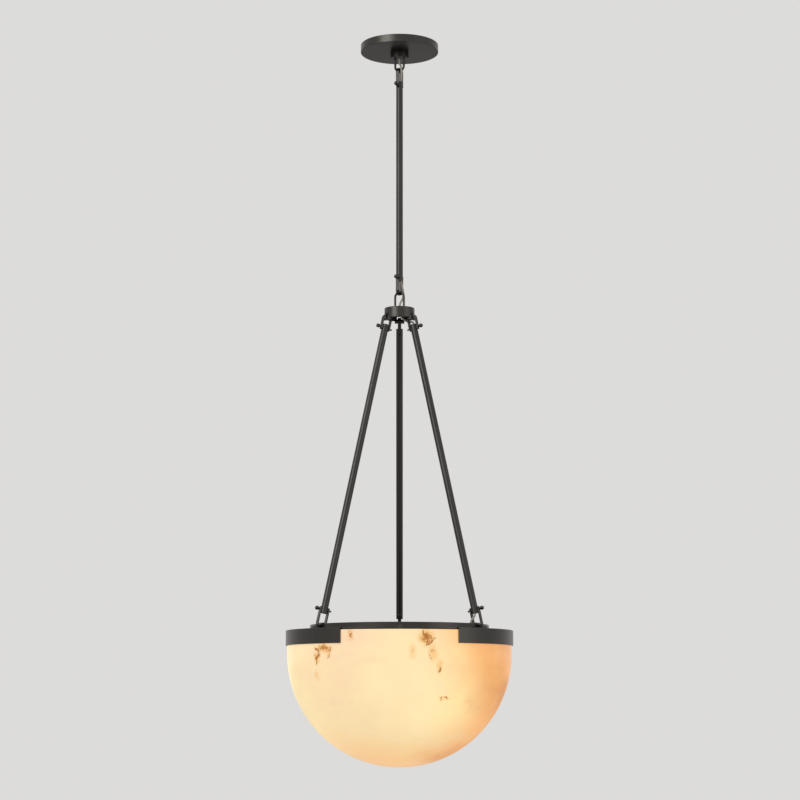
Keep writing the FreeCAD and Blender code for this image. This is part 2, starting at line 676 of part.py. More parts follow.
# --------------------------------------------------------------------------------------------------
# Crown, rim plate and bowl
# --------------------------------------------------------------------------------------------------
def crown_pieces():
    """Crown disc, rim plate with skirts, gasket, screws, bowl and the brackets that hold it."""
    disc = new_body("crown_disc")
    side, inside = "crown_diameter / 2", "crown_diameter / 2 - crown_wall"
    stem_hole = "nipple_diameter / 2 + hole_clearance"
    revolve(disc, [
        (stem_hole, "0"), (side + " - crown_chamfer", "0"), (side, "-crown_chamfer"),
        (side, "-crown_height"), (inside, "-crown_height"), (inside, "-crown_roof"),
        (stem_hole, "-crown_roof")])
    hook_bars(disc, "crown_hook_radius", "crown_hook_height - crown_top",
              "crown_hook_radius - lower_bend * lean_sine",
              "crown_hook_height - crown_top + lower_bend * lean_cosine")
    taps = circles(disc, "XY_Plane", [("screw_circle * cos(30deg)", "screw_circle * sin(30deg)",
                                       "disc_screw_diameter / 2 + thread_clearance")])
    taps.setExpression("AttachmentOffset.Base.z", cells("-crown_height"))
    around(disc, pocket(disc, taps, "2 * (disc_screw_length - plate_thickness + seat_gap)"), 6)
    entry = circles(disc, "XY_Plane", [grommet_spot("grommet_body / 2 + thread_clearance")])
    pocket(disc, entry, "4 * crown_roof")
    keep(place(disc, ("0", "0", "crown_top"), ("back_leg_azimuth", "0", "0")), "crown_disc")
    across, along = grommet_spot("0")[:2]
    turn = "back_leg_azimuth * 1deg"
    keep(place(grommet("crown_grommet", "crown_roof"),
               ("(%s) * cos(%s) - (%s) * sin(%s)" % (across, turn, along, turn),
                "(%s) * sin(%s) + (%s) * cos(%s)" % (across, turn, along, turn), "crown_top")),
         "crown_grommet")

    plate = new_body("rim_plate")
    revolve(plate, [("plate_bore / 2", "-plate_thickness"), ("plate_radius", "-plate_thickness"),
                    ("plate_radius", "0"), ("plate_bore / 2", "0")])
    edge = "skirt_diameter / 2"
    skirt = revolve(plate, [
        ("plate_radius - plate_thickness", "-plate_thickness"),
        (edge + " - skirt_wall", "-plate_thickness"), (edge + " - skirt_wall", "-skirt_depth"),
        (edge, "-skirt_depth"), (edge, "-skirt_chamfer"), (edge + " - skirt_chamfer", "0"),
        ("plate_radius - plate_thickness", "0")], "skirt_span")
    around(plate, skirt, len(LEGS))
    bores = circles(plate, "XY_Plane", [("bracket_circle / 2", "0",
                                         "cap_bolt_diameter / 2 + hole_clearance")])
    around(plate, pocket(plate, bores, "4 * plate_thickness"), len(LEGS))
    clear = circles(plate, "XY_Plane", [("screw_circle * cos(30deg)", "screw_circle * sin(30deg)",
                                         "disc_screw_diameter / 2 + hole_clearance")])
    around(plate, pocket(plate, clear, "4 * plate_thickness"), 6)
    keep(place(plate, ("0", "0", "crown_bottom"), ("back_leg_azimuth", "0", "0")), "rim_plate")


def grommet_spot(radius):
    """Where the lead enters the crown, beside the right leg, as (x, y, radius) from the back leg."""
    turn = "%ddeg" % LEGS["right"]
    along, beside = "lead_grommet_radius", "-lead_grommet_side"
    return ("%s * cos(%s) - (%s) * sin(%s)" % (along, turn, beside, turn),
            "%s * sin(%s) + (%s) * cos(%s)" % (along, turn, beside, turn), radius)


# --------------------------------------------------------------------------------------------------
# Bowl and what holds it
# --------------------------------------------------------------------------------------------------
def bowl_pieces():
    """The bowl with its dowel holes, its gasket, and the brackets, dowels, bolts and screws."""
    bowl = new_body("alabaster_bowl")
    lip = "bowl_straight - bowl_edge"
    revolve(bowl, [
        ("0", "-bowl_radius", "0", "0", 1), ("bowl_radius", "0"), ("bowl_radius", lip),
        ("bowl_radius - bowl_edge", "bowl_straight"), ("bowl_inner", "bowl_straight"),
        ("bowl_inner", "0", "0", "0", -1), ("0", "-bowl_inner")])
    sockets = circles(bowl, "YZ_Plane", [("0", "bowl_straight - dowel_drop",
                                          "dowel_diameter / 2 + hole_clearance")])
    sockets.setExpression("AttachmentOffset.Base.z", cells("bowl_inner"))
    around(bowl, pocket(bowl, sockets, "2 * (dowel_engagement + seat_gap)"), len(LEGS))
    keep(place(bowl, ("0", "0", "bowl_centre"), ("back_leg_azimuth", "0", "0")), "alabaster_bowl")

    gasket = new_body("rim_gasket")
    inside, outside = "bowl_inner + gasket_margin", "bowl_radius - bowl_edge - gasket_margin"
    revolve(gasket, [(inside, "0"), (outside, "0"), (outside, "gasket_thickness"),
                     (inside, "gasket_thickness")])
    keep(place(gasket, ("0", "0", "bowl_top")), "rim_gasket")

    brackets, dowels, bolts = [], [], []
    toe, heel = "bracket_circle / 2 - bracket_toe", "bracket_outer - bracket_thickness"
    for turn in LEGS.values():
        bracket = new_body("bowl_bracket")
        pad(bracket, outline(bracket, "XZ_Plane", [
            (toe, "0"), ("bracket_outer", "0"), ("bracket_outer", "-bracket_leg"),
            (heel, "-bracket_leg"), (heel, "-bracket_thickness"), (toe, "-bracket_thickness")]),
            "bracket_width")
        pocket(bracket, circles(bracket, "XY_Plane", [
            ("bracket_circle / 2", "0", "cap_bolt_diameter / 2 + thread_clearance")]),
            "4 * bracket_thickness")
        pocket(bracket, circles(bracket, "YZ_Plane", [
            ("0", "-gasket_thickness - dowel_drop", "dowel_diameter / 2 + thread_clearance")]),
            "2 * bracket_circle")
        brackets.append(place(bracket, ("0", "0", "plate_bottom"),
                              ("back_leg_azimuth + %d" % turn, "0", "0")))
        dowels.append(cylinder("bracket_dowel", "dowel_diameter / 2",
                               "bowl_inner + dowel_engagement - (%s)" % heel,
                               ring_spot(heel, turn) + ("bowl_top - dowel_drop",),
                               ("back_leg_azimuth + %d" % turn, "90", "0")))
        bolt = headed_screw("bracket_bolt", "cap_bolt_diameter",
                            "plate_thickness + bracket_thickness", "cap_bolt_head",
                            "cap_bolt_head_height")
        bolts.append(place(bolt, ring_spot("bracket_circle / 2", turn) + ("crown_bottom",),
                           ("0", "0", "180")))
    keep(group("bowl_brackets", brackets), "bowl_brackets")
    keep(group("bracket_dowels", dowels), "bracket_dowels")
    keep(group("bracket_bolts", bolts), "bracket_bolts")

    screws = []
    for turn in range(30, 390, 60):
        screw = headed_screw("crown_screw", "disc_screw_diameter", "disc_screw_length",
                             "disc_screw_head", "disc_screw_head_height")
        screws.append(place(screw, ring_spot("screw_circle", turn) + ("plate_bottom",)))
    keep(group("crown_screws", screws), "crown_screws")


# --------------------------------------------------------------------------------------------------
# Lamps
# --------------------------------------------------------------------------------------------------
LAMP_TURNS = (0, 120, 240)


def on_lamp_axis(thing, turn):
    """Place a piece with its Z along a lamp's axis, from where the three axes meet."""
    return place(thing, ("0", "0", "lamp_centre"), ("lamp_yaw + %d" % turn, "90 + lamp_tilt", "0"))


def lamp_pieces():
    """Lamp stem with nuts, cluster body with cover, and for each lamp an arm, socket, cap and bulb."""
    bottom = "cluster_top - cluster_wall"
    keep(hollow_nipple("lamp_stem", bottom, "lamp_stem_top"), "lamp_stem")
    nuts = [nipple_nut("lamp_nut", height)
            for height in ("crown_top", "crown_top - crown_roof - nut_height")]
    keep(group("lamp_stem_nuts", nuts), "lamp_stem_nuts")

    shell = new_body("cluster_shell")
    side, cavity = "cluster_diameter / 2", "cluster_diameter / 2 - cluster_wall"
    tapped = "nipple_diameter / 2 + thread_clearance"
    revolve(shell, [
        (tapped, "0"), (side + " - cluster_chamfer", "0"), (side, "-cluster_chamfer"),
        (side, "-cluster_height"), (cavity, "-cluster_height"), (cavity, "-cluster_wall"),
        (tapped, "-cluster_wall")])
    place(shell, ("0", "0", "cluster_top"))
    holes = [on_lamp_axis(cylinder("arm_hole", tapped, "cluster_diameter"), turn)
             for turn in LAMP_TURNS]
    lead_turn = LEGS["right"]
    holes.append(cylinder("lead_hole", "lead_hole", "2 * cluster_wall",
                          ring_spot("cluster_lead_radius", lead_turn) + (bottom + " - 1",)))
    keep(cut("cluster_body", shell, fuse("cluster_holes", holes)), "cluster_body")

    cover = new_body("cluster_cover")
    lip = cavity + " - thread_clearance"
    revolve(cover, [
        ("0", "-cover_thickness"), (side + " - cluster_chamfer", "-cover_thickness"),
        (side, "cluster_chamfer - cover_thickness"), (side, "0"), (lip, "0"), (lip, "cover_lip"),
        ("0", "cover_lip")])
    keep(place(cover, ("0", "0", "cluster_top - cluster_height")), "cluster_cover")

    arms, sockets, caps, bulbs = [], [], [], []
    outer, front = "socket_diameter / 2", "socket_standoff + socket_length"
    floor = "socket_standoff + socket_floor"
    base = floor + " + seat_gap"
    neck = base + " + cap_length"
    for turn in LAMP_TURNS:
        arms.append(on_lamp_axis(hollow_nipple(
            "socket_arm", cavity, "socket_standoff + arm_engagement"), turn))
        socket = new_body("socket")
        revolve(socket, [
            (tapped, "socket_standoff"), (outer + " - socket_chamfer", "socket_standoff"),
            (outer, "socket_standoff + socket_chamfer"), (outer, front),
            ("socket_bore / 2", front), ("socket_bore / 2", floor), (tapped, floor)])
        sockets.append(on_lamp_axis(socket, turn))
        cap = new_body("bulb_cap")
        revolve(cap, [
            ("0", base), ("contact_diameter / 2", base), ("cap_diameter / 2", base + " + cap_taper"),
            ("cap_diameter / 2", neck), ("0", neck)])
        caps.append(on_lamp_axis(cap, turn))
        bulb = new_body("bulb_globe")
        middle = "(%s + bulb_offset)" % neck
        cheek = ("%s * sin(bulb_tangent * 1deg)", middle + " - %s * cos(bulb_tangent * 1deg)")
        skin = "(bulb_diameter / 2 - glass_wall)"
        revolve(bulb, [
            ("cap_diameter / 2 - glass_wall", neck), ("cap_diameter / 2", neck),
            (cheek[0] % "bulb_diameter / 2", cheek[1] % "bulb_diameter / 2", "0", middle, 1),
            ("0", middle + " + bulb_diameter / 2"), ("0", "%s + %s" % (middle, skin), "0", middle, -1),
            (cheek[0] % skin, cheek[1] % skin)])
        bulbs.append(on_lamp_axis(bulb, turn))
    keep(group("socket_arms", arms), "socket_arms")
    keep(group("sockets", sockets), "sockets")
    keep(group("bulb_caps", caps), "bulb_caps")
    keep(group("bulb_globes", bulbs), "bulb_globes")


# --------------------------------------------------------------------------------------------------
# The supply lead, stretch by stretch
# --------------------------------------------------------------------------------------------------
def below(height, *points):
    """Route points given as (x, y, distance below a height)."""
    return [(across, along, "%s - (%s)" % (height, drop)) for across, along, drop in points]


def down_leg(*points):
    """Route points beside the right leg's axis, given as (distance down the leg, y)."""
    return [("hub_hook_radius + (%s) * lean_sine" % down, beside, "hub_bottom - (%s) * lean_cosine" % down)
            for down, beside in points]


def lead_pieces():
    """Canopy to stem to hub in the link frame, then along the right leg and under the crown."""
    link = "link_yaw"
    offset, side = "lead_offset", "-lead_offset"
    lead("lead_canopy", [(0, 0, "-nipple_setback"), (0, 0, "collar_bottom")], link)
    lead("lead_upper", below(
        "collar_bottom", (0, 0, 0), (0, 0, 4.5), (0.9, -0.7, 9.5), (3.5, -2.7, 15), (6.5, -5, 21.2)) + below(
        "stem_top", (7, -4.8, -20.3), (5.2, -1.5, -11.8), (offset, 0, -4.6), (offset, 0, 0)), link)
    lead("lead_stem", [(offset, 0, "stem_top"), (offset, 0, "stem_bottom")], link)
    lead("lead_lower", below(
        "stem_bottom", (offset, 0, 0), (offset, 0, 4.6), (5.2, 2.2, 12.8), (6.5, 4.8, 22)) + below(
        "hub_top", (6.6, 5, -27.2), (4.6, 3.2, -18.7), (1.3, 0.9, -11.9), (0, 0, -6.7), (0, 0, -1.2)), link)

    leg = "back_leg_azimuth + %d" % LEGS["right"]
    mouth, foot = "leg_upper - tube_overhang", "leg_upper + rod_span + tube_overhang"
    lead("lead_hub", below(
        "hub_top", (0, 0, -1.2), (0, 0, 9.3)) + below(
        "hub_bottom", (4.2, 3.2, -1.7), (14.5, 6.3, 6.1), (24.2, 6.4, 7.4)) + down_leg(
        (mouth + " - 5.1", offset), (mouth, offset)), leg)
    lead("lead_rod", down_leg((mouth, offset), (mouth + " + lead_straight", offset),
                              (foot + " - lead_straight", side), (foot, side)), leg)
    radius, beside = "lead_grommet_radius", "-lead_grommet_side"
    lead("lead_foot", down_leg((foot, side), (foot + " + 4.2", side)) + below(
        "crown_top", (172.4, -7.4, -10.7), (radius, beside, -5.9), (radius, beside, -1.2)), leg)
    lead("lead_crown", below(
        "crown_top", (radius, beside, -1.2), (radius, beside, 14), (158.5, -10, 27), (137, -9, 36.5),
        (107, -8, 41.5), (78, -6.5, 39)) + below(
        "cluster_top", (54, -4, -16.3), (36, -2, -21.3), (21.5, -0.5, -17.3),
        ("cluster_lead_radius", 0, -4.3), ("cluster_lead_radius", 0, 9.7)), leg)


# --------------------------------------------------------------------------------------------------
# Build, check and export
# --------------------------------------------------------------------------------------------------
def export_pieces():
    """Check every document object and write one STEP file per piece."""
    doc.recompute()
    for thing in doc.Objects:
        if "Invalid" in thing.State or "Error" in thing.State:
            raise RuntimeError("%s is not sound: %s" % (thing.Label, thing.State))
    os.makedirs("parts", exist_ok=True)
    for piece in pieces:
        if piece.Shape.isNull() or not piece.Shape.isValid() or not piece.Shape.Solids:
            raise RuntimeError("%s has no sound solid" % piece.Label)
        piece.Shape.exportStep("parts/%s.step" % piece.Label)
    print("%d pieces" % len(pieces))


canopy_pieces()
link_pieces()
hub_pieces()
leg_pieces()
crown_pieces()
bowl_pieces()
lamp_pieces()
lead_pieces()
export_pieces()
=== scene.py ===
"""The looks of an alabaster bowl pendant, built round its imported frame.

Metres, +Z up, origin at the centre of the ceiling plane. Each sub-assembly is a class that builds and
dresses its own pieces, and sizes are written in millimetres times MM.
"""
import json
import logging
import math
from dataclasses import dataclass
from enum import Enum
from typing import Callable, Iterable, Mapping, Sequence

import bmesh
import bpy
from mathutils import Matrix, Vector


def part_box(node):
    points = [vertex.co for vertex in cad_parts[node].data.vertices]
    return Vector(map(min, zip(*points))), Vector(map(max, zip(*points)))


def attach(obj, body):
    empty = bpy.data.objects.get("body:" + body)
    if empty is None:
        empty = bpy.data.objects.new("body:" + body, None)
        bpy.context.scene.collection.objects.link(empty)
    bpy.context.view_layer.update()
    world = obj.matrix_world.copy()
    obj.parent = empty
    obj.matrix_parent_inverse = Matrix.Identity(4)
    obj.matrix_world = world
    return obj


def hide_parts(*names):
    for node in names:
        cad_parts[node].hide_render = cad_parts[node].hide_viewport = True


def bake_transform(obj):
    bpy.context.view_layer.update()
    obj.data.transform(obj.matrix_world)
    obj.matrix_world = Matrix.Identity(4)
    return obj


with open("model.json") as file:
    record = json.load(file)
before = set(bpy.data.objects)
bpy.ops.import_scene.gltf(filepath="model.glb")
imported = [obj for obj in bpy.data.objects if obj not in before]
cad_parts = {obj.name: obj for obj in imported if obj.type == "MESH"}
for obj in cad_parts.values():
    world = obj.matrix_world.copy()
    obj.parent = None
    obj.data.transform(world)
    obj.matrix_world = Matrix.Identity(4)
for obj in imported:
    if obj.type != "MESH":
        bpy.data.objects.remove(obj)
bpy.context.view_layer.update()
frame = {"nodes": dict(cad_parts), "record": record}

log = logging.getLogger("pendant")

MM = 0.001
STILL = Matrix.Identity(4)
HALF_TURN = Matrix.Rotation(math.pi, 4, "X")
Colour = tuple[float, float, float]
Point = tuple[float, float, float]
Profile = Sequence[tuple[float, float]]


# --------------------------------------------------------------------------------------------------
# Shader expressions
# --------------------------------------------------------------------------------------------------
class Signal:
    """An output socket of a shader graph that takes part in arithmetic."""

    def __init__(self, graph: "Graph", socket: bpy.types.NodeSocket) -> None:
        """Wrap a socket of a graph."""
        self.graph = graph
        self.socket = socket

    def __add__(self, other: "Term") -> "Signal":
        """Sum."""
        return self.graph.maths("ADD", self, other)

    def __sub__(self, other: "Term") -> "Signal":
        """Difference."""
        return self.graph.maths("SUBTRACT", self, other)

    def __mul__(self, other: "Term") -> "Signal":
        """Product."""
        return self.graph.maths("MULTIPLY", self, other)

    def __truediv__(self, other: "Term") -> "Signal":
        """Quotient."""
        return self.graph.maths("DIVIDE", self, other)

    def __pow__(self, other: "Term") -> "Signal":
        """Power."""
        return self.graph.maths("POWER", self, other)

    def __rsub__(self, other: float) -> "Signal":
        """Difference from a number."""
        return self.graph.maths("SUBTRACT", other, self)

    def __rtruediv__(self, other: float) -> "Signal":
        """A number divided by this."""
        return self.graph.maths("DIVIDE", other, self)

    def __abs__(self) -> "Signal":
        """Size without its sign."""
        return self.graph.maths("ABSOLUTE", self)

    __radd__ = __add__
    __rmul__ = __mul__

    def clamped(self) -> "Signal":
        """Held between 0 and 1."""
        return self.graph.node("ShaderNodeClamp", {}, {"Value": self})

    def ramp(self, low: float, high: float) -> "Signal":
        """Rise smoothly from 0 at low to 1 at high, or fall where low is the larger.

        Args:
            low: the value that gives 0.
            high: the value that gives 1.

        Returns:
            The mask, from 0 to 1.
        """
        if low > high:
            return 1.0 - self.ramp(high, low)
        return self.graph.node("ShaderNodeMapRange", {"interpolation_type": "SMOOTHSTEP"},
                               {"Value": self, "From Min": low, "From Max": high})


Term = Signal | float
MIX_A, MIX_B, MIX_RESULT = 6, 7, 2      # the colour sockets of a Mix node


class Graph:
    """The node graph of one material, with its principled shader."""

    def __init__(self, material: bpy.types.Material) -> None:
        """Clear a material's graph down to its principled shader.

        Args:
            material: the material to draw in.
        """
        material.use_nodes = True
        self.tree = material.node_tree
        self.shader = self.tree.nodes["Principled BSDF"]

    def node(self, kind: str, settings: Mapping[str, object] | None = None,
             inputs: Mapping[str | int, object] | None = None, output: str | int = 0) -> Signal:
        """Make any node.

        Args:
            kind: the node's type.
            settings: attributes to set first, such as a Math node's operation.
            inputs: a value or a signal for each named or numbered socket.
            output: the socket to hand back.

        Returns:
            The chosen output.
        """
        made = self.tree.nodes.new(kind)
        for name, setting in (settings or {}).items():
            setattr(made, name, setting)
        for name, content in (inputs or {}).items():
            self.feed(made.inputs[name], content)
        return Signal(self, made.outputs[output])

    def feed(self, socket: bpy.types.NodeSocket, content: object) -> None:
        """Link a signal to a socket, or set the socket's own value.

        Args:
            socket: the socket that takes it.
            content: a signal to link, or a plain value.
        """
        if isinstance(content, Signal):
            self.tree.links.new(content.socket, socket)
        elif socket.type == "RGBA" and len(content) == 3:
            socket.default_value = (*content, 1.0)
        else:
            socket.default_value = content

    def maths(self, operation: str, *terms: Term) -> Signal:
        """One Math node on up to three terms."""
        return self.node("ShaderNodeMath", {"operation": operation}, dict(enumerate(terms)))

    def vector(self, operation: str, *terms: object, output: str = "Vector") -> Signal:
        """One Vector Math node."""
        return self.node("ShaderNodeVectorMath", {"operation": operation}, dict(enumerate(terms)), output)

    def mix(self, first: object, second: object, factor: Term, blend: str = "MIX") -> Signal:
        """Mix two colours."""
        return self.node("ShaderNodeMix", {"data_type": "RGBA", "blend_type": blend},
                         {0: factor, MIX_A: first, MIX_B: second}, MIX_RESULT)

    def place(self) -> Signal:
        """Where a point of the surface is, in the frame's metres."""
        return self.node("ShaderNodeTexCoord", output="Object")

    def noise(self, place: Signal, scale: float, detail: float = 2.0, roughness: float = 0.5,
              output: str = "Fac") -> Signal:
        """Cloudy noise, with about scale features to the metre."""
        return self.node("ShaderNodeTexNoise", {},
                         {"Vector": place, "Scale": scale, "Detail": detail, "Roughness": roughness}, output)

    def stretched(self, place: Signal, stretch: Point) -> Signal:
        """A place scaled by axis, for patterns longer one way than another."""
        return self.node("ShaderNodeMapping", {}, {"Vector": place, "Scale": stretch})

    def bump(self, height: Signal, depth: float, strength: float = 1.0) -> Signal:
        """A normal from a height that is 0 to 1 over a depth in metres."""
        return self.node("ShaderNodeBump", {}, {"Height": height, "Distance": depth, "Strength": strength})

    def edges(self) -> Signal:
        """1 along the surface's outward edges and 0 elsewhere."""
        return self.node("ShaderNodeNewGeometry", output="Pointiness").ramp(0.53, 0.64)

    def dress(self, **sockets: object) -> None:
        """Feed the principled shader's sockets, each named with underscores for spaces."""
        for name, content in sockets.items():
            self.feed(self.shader.inputs[name.replace("_", " ")], content)


# --------------------------------------------------------------------------------------------------
# Finishes
# --------------------------------------------------------------------------------------------------
class Slot(Enum):
    """The record's material slots."""
    BRONZE = "dark_bronze"
    ZINC = "zinc_steel"
    EARTH = "earth_green"
    RUBBER = "black_rubber"
    JACKET = "lead_jacket"
    ALABASTER = "alabaster"
    GLASS = "frosted_glass"
    LAMP_CAP = "lamp_cap"
    SOCKET = "socket_black"


@dataclass(frozen=True)
class Finish:
    """A surface finish, made into a material once and shared."""
    name: str
    slot: Slot

    def paint(self, graph: Graph) -> None:
        """Fill the material's graph."""
        raise NotImplementedError

    def material(self) -> bpy.types.Material:
        """The finish's material.

        Returns:
            The material, with this finish's nodes.
        """
        made = bpy.data.materials.get(self.name)
        if made is None:
            made = bpy.data.materials.new(self.name)
            self.paint(Graph(made))
        return made


@dataclass(frozen=True)
class Metal(Finish):
    """Satin metal: a drifting tone, a fine directional grain and edges rubbed brighter."""
    tone: Colour
    deep_tone: Colour
    worn_tone: Colour
    roughness: float
    grain: Point = (260.0, 260.0, 26.0)
    grain_depth: float = 0.05 * MM

    def paint(self, graph: Graph) -> None:
        """Tone from two noises, roughness with the grain, wear on the edges.

        Args:
            graph: the material's nodes.
        """
        place = graph.place()
        drift = graph.noise(place, 9.0, 3.0)
        mottle = graph.noise(place, 140.0, 3.0, 0.6)
        grain = graph.noise(graph.stretched(place, self.grain), 6.0, 2.0, 0.7)
        tone = graph.mix(self.tone, self.deep_tone, (drift * 0.8 + mottle * 0.2 - 0.05).clamped())
        wear = graph.edges() * 0.6
        graph.dress(
            Base_Color=graph.mix(tone, self.worn_tone, wear),
            Metallic=1.0,
            Roughness=(self.roughness - 0.05 + grain * 0.08 + drift * 0.06 - wear * 0.1).clamped(),
            Normal=graph.bump(grain, self.grain_depth, 0.35))


@dataclass(frozen=True)
class Moulded(Finish):
    """Moulded or extruded rubber and plastic: nearly flat colour under a fine skin."""
    tone: Colour
    bloom_tone: Colour
    roughness: float
    skin: float = 900.0
    skin_depth: float = 0.08 * MM

    def paint(self, graph: Graph) -> None:
        """A pale bloom in patches, and a pebbled skin.

        Args:
            graph: the material's nodes.
        """
        place = graph.place()
        bloom = graph.noise(place, 45.0, 4.0, 0.6)
        skin = graph.noise(place, self.skin, 2.0)
        graph.dress(
            Base_Color=graph.mix(self.tone, self.bloom_tone, bloom.ramp(0.4, 0.75)),
            Roughness=(self.roughness + bloom * 0.12 - 0.06).clamped(),
            Normal=graph.bump(skin, self.skin_depth, 0.4))


@dataclass(frozen=True)
class FrostedGlass(Finish):
    """A frosted bulb, lit: a warm glow in soft clouds through a fine frost."""
    tone: Colour
    glow: Colour
    glow_strength: float

    def paint(self, graph: Graph) -> None:
        """A warm glow through a fine frost.

        Args:
            graph: the material's nodes.
        """
        place = graph.place()
        frost = graph.noise(place, 1400.0, 2.0)
        cloud = graph.noise(place, 30.0, 2.0)
        graph.dress(
            Base_Color=graph.mix(self.tone, (0.8, 0.76, 0.68), cloud * 0.4),
            Roughness=(0.35 + frost * 0.2).clamped(),
            Emission_Color=graph.mix(self.glow, (1.0, 0.9, 0.7), cloud.ramp(0.3, 0.7)),
            Emission_Strength=self.glow_strength,
            Normal=graph.bump(frost, 0.05 * MM, 0.3))


GLOW_REACH = 130 * MM               # how far from a lamp its glow falls to half
VEIN_DRIFT = 26 * MM                # how far noise bends the veins
COARSE_CELLS, FINE_CELLS = 38.0, 95.0   # cells of stone to a metre, which the veins run between


@dataclass(frozen=True)
class Vein:
    """A patch of the wall in which the stone's brown veins show."""
    azimuth: float                  # degrees about Z from +X
    drop: float                     # mm below the bowl's rim
    reach: tuple[float, float]      # mm round the bowl and up or down, to where it fades out
    strength: float


